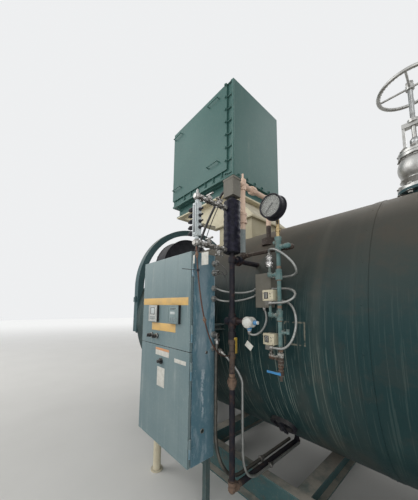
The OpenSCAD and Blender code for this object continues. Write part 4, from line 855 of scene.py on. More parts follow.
def boltHeads():
    bm = bmesh.new()
    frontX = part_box("front_head")[0][0]
    ring = flanges["headRing"]
    for i in range(16):
        angle = math.radians((i + 0.5) * 22.5)
        addBolt(bm, flanges["head"], (frontX, ring * math.cos(angle), shellAxis + ring * math.sin(angle)),
                againstX)
    boltRing(bm, *flanges["door"], 12, (-2.875, 0, shellAxis), againstX, 15)
    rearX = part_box("rear_door")[1][0]
    boltRing(bm, flanges["head"], flanges["rearRing"], 28, (2.33, 0, shellAxis), alongX)
    boltRing(bm, *flanges["inspection"], 8, (rearX - 0.04, 0, shellAxis), alongX)
    low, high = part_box("front_arch")
    archX, bracketZ, footY = flanges["arch"]
    for y in (low[1] + 0.018, high[1] - 0.018):
        addBolt(bm, 0.018, (archX, y, bracketZ))
    for y in (-footY, footY):
        addBolt(bm, 0.03, (archX, y, low[2]), downward)
    finishPiece("head_bolts", bm, "headPaint")


def boltSkid():
    bm = bmesh.new()
    for x in (-2.1, 2.1):
        for y in (-0.880, 0.880):
            addRod(bm, 0.011, 0.05, (x, y, 0.012), sides=14)
            addBolt(bm, flanges["anchor"], (x, y, 0.012))
    for x in (-1.65, 1.65):
        for y in (-0.894, 0.894):
            for off in (-0.07, 0.07):
                addBolt(bm, flanges["beam"], (x + off, y, 0.267))
    finishPiece("skid_bolts", bm, "dullSteel")


boltFlue()
boltSteamValve()
boltHeads()
boltSkid()

# stop valve's handwheel: grips round its rim

wheel = {"place": (steamX, 0.0, 3.41), "radius": 0.222, "grips": 48, "rim": 0.0152, "grip": 0.0065,
         "steps": 16}


def gripRim():
    bm = bmesh.new()
    radius, rim, steps = wheel["radius"], wheel["rim"], wheel["steps"]
    angles = [2 * math.pi * i / steps for i in range(steps + 1)]
    outline = [(radius + rim * math.cos(a), rim * math.sin(a)) for a in angles]
    addLathe(bm, outline, wheel["place"], upright, 96)
    for i in range(wheel["grips"]):
        turn = turned("Z", i * 360 / wheel["grips"])
        spot = Vector(wheel["place"]) + turn @ at(radius - rim * 0.80, 0, -rim * 0.3)
        bmesh.ops.create_icosphere(bm, subdivisions=2, radius=wheel["grip"], matrix=placed(*spot))
    finishPiece("wheel_rim", bm, "silverPaint", "handwheel")


gripRim()
print("bolts and flanges: done")

# cabinet: tapes, labels, instruments, knobs, plugs, gland nuts, gaskets, screws, latch

cabinet = {"front": -1.459, "tape": 0.0012, "label": 0.0010, "instruments": (-1.010, -0.680),
           "instrumentZ": 1.445, "knobs": (-1.045, -0.954), "knobZ": 1.254, "knockout": (-1.333, 0.620),
           "glands": ((1.8503, 0.048), (1.775, 0.048), (1.6516, 0.020), (1.5703, 0.020), (1.2934, 0.020),
                      (1.1926, 0.020)),
           "openings": ((0.425, 1.169), (1.193, 1.906)), "gasket": (0.012, 0.0035),
           "hinges": (0.543, 1.051, 1.311, 1.788), "switchSide": -1.3105}


def addPanelSheet(bm, left, right, low, high):
    face, thick = cabinet["front"], cabinet["label"]
    addBox(bm, (right - left, thick, high - low), ((left + right) / 2, face - thick / 2, (low + high) / 2),
           thick * 0.3)


def dressDoors():
    bm = bmesh.new()
    thick = cabinet["tape"]
    tapes = ((-1.235, -0.513, 1.518, 1.577, 0.3), (-1.054, -0.674, 1.302, 1.366, -0.6))
    for left, right, low, high, tilt in tapes:
        middle = ((left + right) / 2, cabinet["front"] - thick / 2, (low + high) / 2)
        addBox(bm, (right - left, thick, high - low), middle, 0.0003, turned("Y", tilt))
    finishPiece("door_tapes", bm, "wornTape", "upper_door")
    bm = bmesh.new()
    addPanelSheet(bm, -0.935, -0.817, 0.853, 1.005)
    addPanelSheet(bm, -0.972, -0.757, 1.098, 1.140)
    addPanelSheet(bm, -0.679, -0.526, 1.081, 1.110)
    finishPiece("lower_door_labels", bm, "agedPaper", "lower_door")
    bm = bmesh.new()
    addPanelSheet(bm, -0.972, -0.757, 1.1402, 1.159)
    finishPiece("lower_door_headers", bm, "fadedOrange", "lower_door")


def dressInstruments():
    face, middle = cabinet["front"] - 0.020, cabinet["instrumentZ"]
    screens, lines, keys, cases = bmesh.new(), bmesh.new(), bmesh.new(), bmesh.new()
    for x, finish, name in zip(cabinet["instruments"], ("paleBezel", "tealBezel"), ("left", "right")):
        plate = bmesh.new()
        addBox(plate, (0.142, 0.004, 0.142), (x, face - 0.0015, middle), 0.0018)
        addBox(cases, (0.139, 0.0098, 0.139), (x, face + 0.0052, middle), 0.001)
        for offset in (-0.0665, 0.0665):
            addBox(plate, (0.007, 0.004, 0.140), (x + offset, face - 0.0045, middle), 0.0012)
            addBox(plate, (0.126, 0.004, 0.007), (x, face - 0.0045, middle + offset), 0.0012)
        finishPiece(name + "_instrument_plate", plate, finish, "upper_door")
        for i in range(4):
            for z in (1.414, 1.399):
                addBox(keys, (0.015, 0.004, 0.009), (x - 0.036 + i * 0.024, face - 0.0045, z), 0.0013)
    left, right = cabinet["instruments"]
    shown = ((screens, (0.078, 0.0016, 0.062), left - 0.004, 0.0040, 1.466, 0.0006),
             (lines, (0.058, 0.0012, 0.052), left + 0.002, 0.0050, 1.466, 0.0004),
             (screens, (0.082, 0.0010, 0.004), right - 0.004, 0.0038, 1.490, 0.0003),
             (screens, (0.060, 0.0010, 0.003), right - 0.010, 0.0038, 1.481, 0.0003),
             (lines, (0.066, 0.0012, 0.020), right - 0.008, 0.0042, 1.455, 0.0004))
    for bm, size, x, proud, z, bevel in shown:
        addBox(bm, size, (x, face - proud, z), bevel)
    finishPiece("instrument_cases", cases, "blackKnob", "upper_door")
    finishPiece("instrument_screens", screens, "darkScreenAndShade", "upper_door")
    finishPiece("instrument_displays", lines, "paleScreen", "upper_door")
    finishPiece("instrument_keys", keys, "greyBezel", "upper_door")


def dressKnobs():
    knobs, rings = bmesh.new(), bmesh.new()
    front, z = cabinet["front"], cabinet["knobZ"]
    face = front - 0.035
    for i, x in enumerate(cabinet["knobs"]):
        turn = towardsFront @ turned("Z", 35 - 70 * i)
        addRing(knobs, [(0.0, 0.004), (0.015, 0.004), (0.017, 0.0), (0.0175, -0.026), (0.0, -0.026)],
                (x, face, z), turn, 28)
        addBox(knobs, (0.009, 0.012, 0.030), (x, face - 0.012, z), 0.003, turned("Y", 20 - 35 * i))
        addRing(rings, [(0.0175, 0.0), (0.023, 0.0), (0.024, 0.002), (0.022, 0.005), (0.0175, 0.006)],
                (x, front - 0.010, z), towardsFront, 28)
    finishPiece("selector_knobs", knobs, "blackKnob", "upper_door")
    finishPiece("knob_rings", rings, "conduitSteel", "upper_door")


def dressCabinet():
    bm = bmesh.new()
    knockout = (cabinetSide, *cabinet["knockout"])
    addRing(bm, [(0.0125, 0.0), (0.0125, 0.003), (0.016, 0.003), (0.0175, 0.0)], knockout, alongX, 24)
    addDisc(bm, 0.012, 0.003, (cabinetSide, -1.300, 1.165), alongX, 20, 0.010)
    finishPiece("cabinet_plugs", bm, "dullSteel")
    bm = bmesh.new()
    # painted shade: a thin dark disc fills the open knockout, standing in for the shade inside the cabinet
    addDisc(bm, 0.0124, 0.0008, knockout, alongX, 24)
    finishPiece("open_knockout_shade", bm, "darkScreenAndShade")
    bm = bmesh.new()
    for z, out in cabinet["glands"]:
        addHexHead(bm, 0.046, 0.009, (cabinetSide, glandY, z), alongX)
        addHexHead(bm, 0.038, 0.010, (cabinetSide + out - 0.011, glandY, z), alongX)
    finishPiece("gland_nuts", bm, "silverPaint")
    bm = bmesh.new()
    strip, raised = cabinet["gasket"]
    y = -1.432 - raised / 2
    left, right = -1.2405 + strip, cabinetSide - strip
    for low, high in cabinet["openings"]:
        for z in (low + strip / 2, high - strip / 2):
            addBox(bm, (right - left, raised, strip), ((left + right) / 2, y, z), 0.001)
        for x in (left + strip / 2, right - strip / 2):
            addBox(bm, (strip, raised, high - low - 2 * strip), (x, y, (low + high) / 2), 0.001)
    finishPiece("door_gaskets", bm, "blackRubber")
    bm = bmesh.new()
    for z in cabinet["hinges"]:
        for y in (-1.418, -1.437):
            for step in (-0.045, -0.017):
                addScrew(bm, 0.004, (-0.4825, y, z + step), alongX)
    finishPiece("hinge_screws", bm, "cabinetPaint")
    bm = bmesh.new()
    addRing(bm, [(0.0, 0.010), (0.008, 0.009), (0.011, 0.005), (0.012, -0.004), (0.0, -0.004)],
            (-0.873, cabinet["front"] - 0.032, 1.057), towardsFront, 24)
    finishPiece("latch_grip", bm, "blackKnob", "lower_door")
    bm = bmesh.new()
    addBox(bm, (0.0012, 0.075, 0.11), (cabinet["switchSide"] - 0.0006, -1.352, 0.93), 0.0003)
    finishPiece("switch_label", bm, "agedPaper")
    bm = bmesh.new()
    for z in (0.665, 1.025):
        for y in (-1.402, -1.302):
            addScrew(bm, 0.006, (cabinet["switchSide"], y, z), againstX)
    addBox(bm, (0.018, 0.034, 0.06), (-1.352, -1.372, 0.99), 0.005)
    finishPiece("switch_screws", bm, "dullSteel")


dressDoors()
dressInstruments()
dressKnobs()
dressCabinet()
print("cabinet: done")

# water column: wrinkled cover, gauge glass with its side bolts, valve grips and nuts, tags

column = {"low": 1.911, "high": 2.305, "radius": 0.0615, "turns": 44, "foldPitch": 0.046}
glassPart = {"low": 1.967, "high": 2.193, "face": -0.023}
gaugeValve = {"drain": 0.205, "stem": 0.110,
              "nuts": ((0.030, 0.044, 0.014), (0.064, 0.034, 0.018), (0.142, 0.036, 0.014),
                       (0.160, 0.030, 0.012), (0.240, 0.040, 0.016), (0.262, 0.034, 0.010))}


def wrapColumn():
    bm = bmesh.new()
    turns = column["turns"]
    height = column["high"] - column["low"]
    outline = [(column["radius"], height * i / turns) for i in range(turns + 1)]
    addLathe(bm, outline, (columnX, columnY, column["low"]), upright, 72)
    for v in bm.verts:
        outward = at(v.co.x - columnX, v.co.y - columnY, 0).normalized()
        angle = math.atan2(outward.y, outward.x)
        wander = 2.4 * fieldNoise.noise(at(v.co.x * 9, v.co.y * 9, v.co.z * 7))
        fold = 0.5 + 0.5 * math.sin(2 * math.pi * (v.co.z / column["foldPitch"]) + angle + wander)
        crumple = fieldNoise.noise(at(v.co.x * 30, v.co.y * 30, v.co.z * 55))
        v.co += outward * (0.0016 + 0.0026 * fold ** 5 + 0.0024 * crumple)
    finishPiece("column_cover", bm, "wrappedCover")


def dressGlass():
    x, y = columnX, glassY
    low, high = glassPart["low"], glassPart["high"]
    bm = bmesh.new()
    for i in range(5):
        z = low + 0.028 + i * (high - low - 0.056) / 4
        addRod(bm, 0.008, 0.064, (x - 0.026, y, z), againstX, 12)
        addHexHead(bm, 0.028, 0.018, (x - 0.0262, y, z), againstX)
        addHexHead(bm, 0.026, 0.024, (x - 0.054, y, z), againstX)
    for i in range(4):
        z = low + 0.052 + i * (high - low - 0.104) / 3
        addRod(bm, 0.006, 0.034, (x + 0.026, y, z), alongX, 12)
        addHexHead(bm, 0.020, 0.012, (x + 0.0262, y, z), alongX)
    finishPiece("glass_bolts", bm, "blackIron")
    bm = bmesh.new()
    front = y + glassPart["face"]
    span, middle = high - low, (low + high) / 2
    for side in (-0.0125, 0.0125):
        addBox(bm, (0.009, 0.006, span - 0.03), (x + side, front + 0.0022, middle), 0.002)
    for z in (low + 0.014, high - 0.014):
        addBox(bm, (0.034, 0.006, 0.012), (x, front + 0.0022, z), 0.002)
    finishPiece("glass_frame", bm, "glassBody")
    bm = bmesh.new()
    addBox(bm, (0.016, 0.002, span - 0.04), (x, front + 0.0006, middle), 0.0006)
    finishPiece("glass_window", bm, "darkScreenAndShade")


def dressGaugeValves():
    x, y = columnX, glassY
    stem, drain = gaugeValve["stem"], gaugeValve["drain"]
    bm = bmesh.new()
    for z in gaugeValveZs:
        lower = z == gaugeValveZs[0]
        grips = ((stem, 0.054, (0.030, 0), upright),
                 (drain, -0.050 if lower else 0.050, (0, 0.030), downward if lower else upright))
        for off, rise, arm, turn in grips:
            addRing(bm, [(0.0, 0.006), (0.007, 0.005), (0.009, 0.0), (0.009, -0.006), (0.0, -0.006)],
                    (x, y + off, z + rise), turn, 16)
            for sign in (-1, 1):
                end = placed(x + sign * arm[0], y + off + sign * arm[1], z + rise)
                bmesh.ops.create_icosphere(bm, subdivisions=2, radius=0.008, matrix=end)
    addRing(bm, [(0.0, 0.010), (0.006, 0.008), (0.008, 0.0), (0.0, 0.0)], (x, y, 2.283), upright, 16)
    finishPiece("gauge_valve_grips", bm, "valveSteel")
    bm = bmesh.new()
    for z in gaugeValveZs:
        for off, across, long in gaugeValve["nuts"]:
            addHexHead(bm, across, long, (x, y + off, z), alongY)
        for off in (stem, drain):
            side, turn = (-1, downward) if off == drain and z == gaugeValveZs[0] else (1, upright)
            addHexHead(bm, 0.034, 0.014, (x, y + off, z + side * 0.016), turn)
            addRing(bm, [(0.0082, 0.0), (0.0135, 0.0), (0.0145, 0.006), (0.0115, 0.012), (0.0082, 0.012)],
                    (x, y + off, z + side * 0.031), turn, 20)
        addRing(bm,
                [(0.0, -0.026), (0.012, -0.026), (0.021, -0.018), (0.024, 0.0), (0.021, 0.018),
                 (0.012, 0.026),
                     (0.0, 0.026)], (x, y, z), alongX, 24)
    finishPiece("gauge_valve_nuts", bm, "valveSteel")


def hangTags():
    x = columnX
    bm = bmesh.new()
    tags = ((0.057, 0.082, (x + 0.070, -1.548, 1.808), turned("Z", 8)),
            (0.018, 0.055, (x - 0.012, -1.572, 1.811), turned("Z", -6)),
            (0.058, 0.040, (-0.121, -1.250, 1.256), turned("Y", 34)))
    for wide, high, spot, turn in tags:
        addBox(bm, (wide, 0.0015, high), spot, 0.0005, turn)
    finishPiece("tags", bm, "agedPaper")
    ties = [[at(x + 0.070, -1.548, 1.846), at(x + 0.052, -1.551, 1.886), at(x + 0.015, -1.560, 1.905)],
            [at(x - 0.012, -1.572, 1.836), at(x - 0.008, -1.568, 1.870), at(x - 0.004, -1.566, 1.902)],
            [at(-0.121, -1.250, 1.276), at(-0.128, -1.240, 1.310), at(-0.133, -1.229, 1.346)]]
    bm = sweptTubes([(tie, 0.0008) for tie in ties], pitch=0.01, roundness=1)
    finishPiece("tag_wires", bm, "dullSteel")


wrapColumn()
dressGlass()
dressGaugeValves()
hangTags()
print("water column: done")

# pressure gauge: dial, marks, needle, glass and rim

gauge = {"place": (0.040, -1.215, 2.168), "radius": 0.0775, "caseDepth": 0.056, "raise": 0.0012, "marks": 60,
         "sweep": 270, "figures": 7, "figureStep": 50, "figureSize": 0.0115, "stemFoot": 2.045}


def addDialFigures(bm, x, face, z, reach):
    for i in range(gauge["figures"]):
        angle = math.radians(-gauge["sweep"] / 2 + i * gauge["sweep"] / (gauge["figures"] - 1))
        letters = bpy.data.curves.new("figure", "FONT")
        letters.body = str(i * gauge["figureStep"])
        letters.size = gauge["figureSize"]
        letters.align_x = "CENTER"
        letters.align_y = "CENTER"
        letters.extrude = 0.0002
        spot = placed(x + reach * math.sin(angle), face - 0.0012, z + reach * math.cos(angle))
        addShapedCurve(bm, letters, spot @ towardsFront)


def dressDial():
    x, y, z = gauge["place"]
    inner = gauge["radius"] - 0.006
    face = y - gauge["raise"]
    bm = bmesh.new()
    addDisc(bm, inner, 0.001, (x, face, z), towardsFront, 64, inner - 0.001)
    finishPiece("gauge_dial", bm, "dialFace")
    bm = bmesh.new()
    for i in range(gauge["marks"] + 1):
        turn = turned("Y", -gauge["sweep"] / 2 + i * gauge["sweep"] / gauge["marks"])
        long = 0.010 if i % 10 == 0 else 0.0065 if i % 5 == 0 else 0.004
        spot = at(x, face - 0.0012, z) + turn @ at(0, 0, inner - 0.006 - long / 2)
        addBox(bm, (0.0018 if i % 5 == 0 else 0.0009, 0.0004, long), spot, 0, turn)
    reach = placed(x, face - 0.004, z) @ turned("Y", -gauge["sweep"] / 2) @ towardsFront
    blade = [(-0.0050, -0.024), (0.0050, -0.024), (0.0042, 0.0), (0.0015, 0.060), (-0.0015, 0.060),
             (-0.0042, 0.0)]
    needle = bm.faces.new([bm.verts.new(reach @ at(side, up, 0.0)) for side, up in blade])
    grown = bmesh.ops.extrude_face_region(bm, geom=[needle])
    lifted = [item for item in grown["geom"] if isinstance(item, bmesh.types.BMVert)]
    bmesh.ops.translate(bm, vec=(0, -0.0010, 0), verts=lifted)
    addDisc(bm, 0.005, 0.003, (x, face - 0.0025, z), towardsFront, 20, 0.004)
    addDialFigures(bm, x, face, z, inner - 0.026)
    finishPiece("gauge_marks", bm, "printedMarks", smooth=False)


def dressGaugeCase():
    x, y, z = gauge["place"]
    rim, foot = gauge["radius"], gauge["stemFoot"]
    bm = bmesh.new()
    addRing(bm, [(rim - 0.007, 0.0005), (rim - 0.006, 0.011), (rim - 0.002, 0.014), (rim + 0.003, 0.012),
                 (rim + 0.0045, 0.006), (rim + 0.0045, -0.010), (rim - 0.001, -0.010), (rim - 0.001, 0.0005)],
            (x, y, z), towardsFront, 72)
    addRing(bm, [(rim - 0.001, 0.0), (rim + 0.008, 0.0), (rim + 0.009, 0.002), (rim + 0.008, 0.005),
                 (rim - 0.001, 0.006)], (x, y + gauge["caseDepth"], z), towardsFront, 72)
    finishPiece("gauge_rim", bm, "blackIron")
    bm = bmesh.new()
    addDisc(bm, rim - 0.007, 0.0012, (x, y - 0.0085, z), towardsFront, 48)
    finishPiece("gauge_glass_pane", bm, "clearGlass")
    bm = bmesh.new()
    top = z - rim - foot + 0.003
    addRing(bm, [(0.0, -0.069), (0.012, -0.069), (0.0125, 0.0), (0.0125, top), (0.0, top)],
            (x, manifoldY, foot), upright, 20)
    addHexHead(bm, 0.030, 0.016, (x, manifoldY, foot - 0.033))
    finishPiece("gauge_stem", bm, "agedBrass")


# pressure controls: windows, scales, screws; transmitter's face and glands; foil round the sensor

controls = {"x": -0.030, "floors": (1.2652, 1.5504), "width": 0.080, "depth": 0.056, "height": 0.072}
transmitter = {"place": (-0.135, -1.263, 1.405), "axisY": -1.227, "capRadius": 0.0372, "ridges": 24}


def dressControls():
    dark, pale, screws = bmesh.new(), bmesh.new(), bmesh.new()
    x, half, front = controls["x"], controls["width"] / 2, manifoldY - controls["depth"] / 2
    for floor in controls["floors"]:
        addBox(dark, (0.032, 0.002, 0.046), (x - 0.014, front - 0.0004, floor + 0.036), 0.0006)
        for across in (-0.020, -0.008):
            addBox(pale, (0.002, 0.001, 0.038), (x + across, front - 0.0016, floor + 0.036))
        for i in range(8):
            addBox(pale, (0.006, 0.0008, 0.0008), (x - 0.014, front - 0.0014, floor + 0.020 + i * 0.0045))
        addBox(dark, (0.012, 0.0016, 0.004), (x + 0.018, front - 0.0004, floor + 0.046), 0.0004,
               turned("Y", 35))
        addBox(dark, (0.010, 0.0016, 0.003), (x + 0.020, front - 0.0004, floor + 0.026), 0.0004,
               turned("Y", -20))
        for side in (-1, 1):
            for up in (0.007, 0.050):
                addScrew(screws, 0.0032, (x + side * (half - 0.007), front, floor + up), towardsFront)
        addScrew(screws, 0.005, (x + 0.012, manifoldY, floor + controls["height"]), upright)
    finishPiece("control_windows", dark, "blackKnob")
    finishPiece("control_scales", pale, "agedPaper", smooth=False)
    finishPiece("control_screws", screws, "dullSteel")


def dressTransmitter():
    x, y, z = transmitter["place"]
    radius, ridges = transmitter["capRadius"], transmitter["ridges"]
    bm = bmesh.new()
    addRing(bm, [(0.0, 0.003), (0.010, 0.0028), (0.012, 0.0), (0.020, -0.0005), (0.0, -0.001)], (x, y, z),
            towardsFront, 32)
    addRing(bm, [(0.030, 0.0), (0.034, -0.001), (radius, -0.006), (radius, -0.022), (0.030, -0.022)],
            (x, y, z), towardsFront, 48)
    for i in range(ridges):
        turn = turned("Y", i * 360 / ridges)
        addBox(bm, (0.004, 0.014, 0.0025), at(x, y + 0.014, z) + turn @ at(0, 0, radius), 0.0006, turn)
    finishPiece("transmitter_cap", bm, "whiteHousing")
    bm = bmesh.new()
    axisY = transmitter["axisY"]
    for turn, start in ((alongX, (x + 0.0415, axisY, z)), (downward, (x, axisY, z - 0.0335))):
        addRing(bm, [(0.0112, 0.0), (0.0165, 0.0), (0.0165, 0.010), (0.014, 0.013), (0.014, 0.020),
                     (0.0112, 0.024)], start, turn, 12)
    finishPiece("transmitter_glands", bm, "blueGrip")


def wrapSensor():
    bm = bmesh.new()
    low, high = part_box("pressure_sensor")
    x, y = (low[0] + high[0]) / 2, (low[1] + high[1]) / 2
    outline = [(0.012, 0.0), (0.020, 0.006), (0.024, 0.02), (0.022, 0.035), (0.0165, 0.045), (0.021, 0.054),
               (0.024, 0.066), (0.020, 0.078), (0.0105, high[2] - low[2] - 0.001)]
    addLathe(bm, outline, (x, y, low[2]), upright, 30)
    bmesh.ops.subdivide_edges(bm, edges=bm.edges, cuts=2, use_grid_fill=True)
    for v in bm.verts:
        shift = fieldNoise.cell_vector(v.co * 120.0) - at(0.5, 0.5, 0.5)
        v.co += shift * 0.0035 + v.normal * 0.003 * fieldNoise.noise(v.co * 70.0)
    finishPiece("foil_wrap", bm, "crumpledFoil", smooth=False)
    bm = bmesh.new()
    for up in (0.012, 0.045, 0.072):
        addRing(bm, [(0.018, -0.002), (0.0235, -0.002), (0.0235, 0.002), (0.018, 0.002)], (x, y, low[2] + up),
                upright, 24)
    finishPiece("foil_ties", bm, "dullSteel")


dressDial()
dressGaugeCase()
dressControls()
dressTransmitter()
wrapSensor()
print("pressure controls: done")

# conduits: ribbed flexible tubes along the routes of their solids, and collars at their ends

conduits = {"wire": 0.008, "drop": 0.013, "smallDrop": 0.010, "rib": 0.0007, "pitch": 0.0042,
            "glandShares": (0.823, 0.769, 0.585, 0.518), "boxY": -1.066, "boxX": -0.185, "boxHeight": 0.240,
            "boxWidth": 0.125, "low": 0.310, "far": -0.399}


def manifoldZ(share):
    return manifoldLow + share * manifoldLong


def wireRoutes(cabinetEnd, glandZs):
    y, wide, tall = conduits["boxY"], conduits["boxWidth"], conduits["boxHeight"]
    box = at(conduits["boxX"], 0, manifoldZ(0.45))
    boxLeft = at(box.x - 0.003 - gap, y, box.z + 0.55 * tall)
    boxRight = at(box.x + wide + 0.003 + gap, y, box.z + 0.88 * tall)
    sensorTop = at(controls["x"], manifoldY, manifoldZ(0.798) + 0.086 + gap)
    turn = at(0.140, -1.140, 1.790)
    wires = [hosePath((cabinetEnd, glandY, glandZs[i]), (0.09, 0, 0), boxLeft - at(0, 0, 0.045 * i),
                      (-0.11, 0, 0), (0, 0, -0.04)) for i in (0, 1)]
    wires.append([sensorTop]
                 + bezier(sensorTop + at(0, 0, 0.01), sensorTop + at(0, -0.03, 0.05),
                          at(0.060, -1.189, 1.905), turn)
                 + bezier(turn, turn + at(0.035, 0.015, -0.07), boxRight + at(0.21, 0, -0.02),
                          boxRight + at(0.012, 0, 0)) + [boxRight])
    for i, share in enumerate((0.505, 0.138)):
        wires.append(hosePath(boxRight - at(0, 0, 0.084 * (i + 1)), (0.23, 0, 0),
                              (controls["x"] + 0.015 + gap, -1.166, manifoldZ(share) - 0.015), (0.19, 0, 0),
                              lead=0.066))
    wires.append(hosePath((box.x + 0.06, y, box.z - 0.003 - gap), (0, 0, -0.12),
                          (-0.135, -1.227, 1.345 - gap), (0, 0, -0.05), (0.06, 0, 0)))
    return wires


def dropRoutes(cabinetEnd, glandZs):
    low, far = conduits["low"], conduits["far"]
    x, y, out = cabinetSide + 0.062, -1.260, -0.339
    backX, backY = -0.277, -1.134
    drop = hosePath((cabinetEnd, glandY, glandZs[2]), (0.04, 0, 0), (x, y, glandZs[2] - 0.194), (0, 0, 0.09))
    drop += bezier(at(x, y, 0.640), at(x, y, low + 0.12), at(out, y + 0.02, low), at(out, y + 0.18, low))
    small = hosePath((cabinetEnd, glandY, glandZs[3]), (0.07, 0, 0), (backX, backY, glandZs[3] - 0.254),
                     (0, 0, 0.1))
    small += bezier(at(backX, backY, 0.540), at(backX, backY, low + 0.04),
                    at(backX + 0.03, backY + 0.03, low),
                    at(backX + 0.03, backY + 0.16, low))
    hub = at(-0.366 - gap, columnY, 2.313 + 0.032 + 0.56 * 0.150)
    switchRun = hosePath(hub, (-0.07, 0, 0), (-0.6155, -1.290, 1.918 + 0.020 + gap), (0, 0, 0.15))
    return drop + [at(out, far, low)], small + [at(backX + 0.03, far, low)], switchRun


def addCollars(wires, drops):
    bm = bmesh.new()
    for path in wires:
        for end, other in ((path[0], path[1]), (path[-1], path[-2])):
            turn = aimed(other - end)
            addRing(bm, [(0.0086, 0.0), (0.0115, 0.001), (0.0115, 0.012), (0.0095, 0.020), (0.0086, 0.020)],
                    end, turn, 16)
            addHexHead(bm, 0.024, 0.007, end, turn)
    for path, across in zip(drops, (0.042, 0.034)):
        spaced = evenly(path, 0.01)
        bore, radius = across * 0.33, across * 0.40
        for i in (0, 5, len(spaced) - 46):
            turn = aimed(spaced[i + 1] - spaced[i])
            addHexHead(bm, across, 0.014, spaced[i], turn)
            addRing(bm, [(bore, 0.014), (radius, 0.015), (radius, 0.034), (bore, 0.040)], spaced[i], turn, 24)
    finishPiece("conduit_collars", bm, "valveSteel")


def runConduits():
    ends = (cabinetSide + 0.020 + gap, [0.413 + share * 1.505 for share in conduits["glandShares"]])
    wires = wireRoutes(*ends)
    drop, small, switchRun = dropRoutes(*ends)
    rib, pitch, thin = conduits["rib"], conduits["pitch"], conduits["smallDrop"]
    bm = sweptTubes([(path, conduits["wire"]) for path in wires], rib, pitch)
    finishPiece("wire_conduits", bm, "conduitSteel", hides=["control_conduits"])
    bm = sweptTubes([(drop, conduits["drop"])], rib, pitch * 1.3)
    finishPiece("dark_drop_conduit", bm, "sootyConduit", hides=["drop_conduit"])
    bm = sweptTubes([(small, thin)], rib, pitch * 1.3)
    finishPiece("pale_drop_conduit", bm, "conduitSteel", hides=["drop_conduit"])
    looseRun = hosePath(switchRun[0] + at(0.004, 0.0, -0.045), (-0.05, -0.02, -0.02),
                        switchRun[-1] + at(0.004, 0.026, 0.0), (0.02, 0.05, 0.22))
    finishPiece("switch_wire", sweptTubes([(looseRun, 0.0035)], 0.0, 0.012, 1), "blackRubber")
    bm = sweptTubes([(switchRun, thin)], 0.0004, pitch)
    finishPiece("switch_conduit", bm, "blackRubber", hides=["drop_conduit"])
    addCollars(wires, (drop, small))
    x, (top, lower) = cabinetSide + 0.048, (1.8503, 1.775)
    loop = hosePath((x, glandY, top), (0.10, -0.01, -0.01), (x, glandY, lower), (0.12, 0.01, -0.02),
                    (0.02, 0.0, -0.05))
    tail = hosePath((x, -1.232, lower), (0.05, 0.0, 0.03), (-0.340, -1.216, 1.640), (-0.03, 0.0, 0.10))
    bm = sweptTubes([(loop, 0.003), (tail, 0.0025)], 0.0, 0.012, 1)
    finishPiece("spare_wire", bm, "blackRubber")


runConduits()
print("conduits: done")

# piping: drain tube with its fittings and rod, threads

pipes = {"drainTube": 0.005, "rodHeight": 1.745, "rodAim": (-0.95, -0.25, 0.16), "columnThread": 0.0205,
         "manifoldThread": 0.0140}


def drainTube():
    top = at(columnX, glassY, gaugeValveZs[0] - 0.020 - gap)
    tee = at(columnX, columnY - 0.026 - gap, 1.165)
    path = [top] + bezier(top - at(0, 0, 0.02), top + at(0, 0.04, 0.68 * (tee.z - top.z)),
                          tee - at(0, 0.17, 0), tee - at(0, 0.024, 0)) + [tee]
    bm = sweptTubes([(path, pipes["drainTube"])], 0.0, 0.02)
    finishPiece("drain_tube", bm, "agedCopper", hides=["gauge_drain_tube"])
    bm = bmesh.new()
    spaced = evenly(path, 0.01)
    for share in (0.06, 0.55):
        i = int(share * len(spaced))
        turn = aimed(spaced[i + 1] - spaced[i])
        addHexHead(bm, 0.022, 0.014, spaced[i], turn)
        addRing(bm, [(0.005, -0.012), (0.008, -0.010), (0.008, 0.026), (0.005, 0.028)], spaced[i], turn, 16)
    finishPiece("tube_fittings", bm, "rustyFitting")
    joint = min(spaced, key=lambda point: abs(point.z - pipes["rodHeight"]))
    bm = bmesh.new()
    turn = aimed(Vector(pipes["rodAim"]))
    addRod(bm, 0.0022, 0.13, joint + turn @ at(0, 0, 0.006), turn, 10)
    addHexHead(bm, 0.020, 0.016, joint - at(0, 0, 0.008))
    finishPiece("tube_valve_rod", bm, "blackIron")


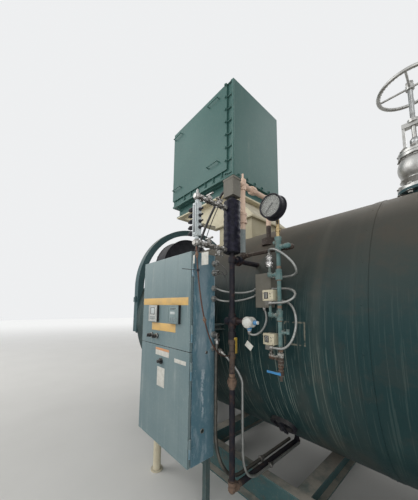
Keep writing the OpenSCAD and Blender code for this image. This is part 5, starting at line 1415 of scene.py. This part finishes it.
def threadPipes():
    bm = bmesh.new()
    threaded = ((columnX, columnY, pipes["columnThread"], (1.020, 0.944)),
                (manifoldX, manifoldY, pipes["manifoldThread"], (1.226, 1.415, 1.500, 1.680, 1.760)))
    for x, y, radius, heights in threaded:
        for z in heights:
            outline = [(radius - 0.001, 0.0)]
            for i in range(6):
                outline += [(radius + 0.0012, 0.001 + i * 0.003), (radius, 0.0025 + i * 0.003)]
            addRing(bm, outline + [(radius - 0.001, 0.019)], (x, y, z), upright, 24)
    finishPiece("pipe_threads", bm, "rustyFitting")


drainTube()
threadPipes()
print("piping: done")

# shell: screws of the jacket bands; fan and motor: grilles

shell = {"radius": 1.05, "bands": (-1.39, 0.44, 2.24), "bandWidth": 0.06}
fan = {"x": -2.755, "z": 2.176, "rings": (0.190, 0.215, 0.240), "spokes": 10, "coverRing": 0.535,
       "motorEnd": -3.115}


def dressShell():
    bm = bmesh.new()
    for x in shell["bands"]:
        for side in (-1, 1):
            for degrees in range(-60, 80, 14):
                angle = math.radians(degrees)
                outward = at(0, side * math.cos(angle), math.sin(angle))
                spot = at(x + shell["bandWidth"] / 2, 0, shellAxis) + outward * (shell["radius"] + 0.003)
                addScrew(bm, 0.0045, spot, aimed(outward))
    finishPiece("band_screws", bm, "jacketPaint")


def dressFan():
    bm = bmesh.new()
    z, half = fan["z"], 0.003
    x = fan["x"] - 0.028
    for radius in fan["rings"]:
        outline = [(radius - half, -half), (radius + half, -half), (radius + half, half),
                   (radius - half, half)]
        addRing(bm, outline, (x, 0, z), againstX, 48)
    for i in range(fan["spokes"]):
        turn = turned("X", i * 360 / fan["spokes"])
        addBox(bm, (0.004, 0.006, 0.07), at(x, 0, z) + turn @ at(0, 0, 0.216), 0, turn)
    boltRing(bm, 0.022, fan["coverRing"], 16, (fan["x"], 0, z), againstX)
    finishPiece("fan_grille", bm, "blackIron")
    bm = bmesh.new()
    end = fan["motorEnd"]
    for i in range(9):
        y = -0.10 + i * 0.025
        addBox(bm, (0.004, 0.007, 2 * math.sqrt(0.125 ** 2 - y * y)), (end + 0.0018, y, z), 0.001)
    edge = [(0.124, -0.003), (0.131, -0.003), (0.131, 0.0002), (0.124, 0.0002)]
    addRing(bm, edge, (end, 0, z), againstX, 40)
    finishPiece("motor_grille", bm, "blackIron")


dressShell()
dressFan()
print("shell and fan: done")
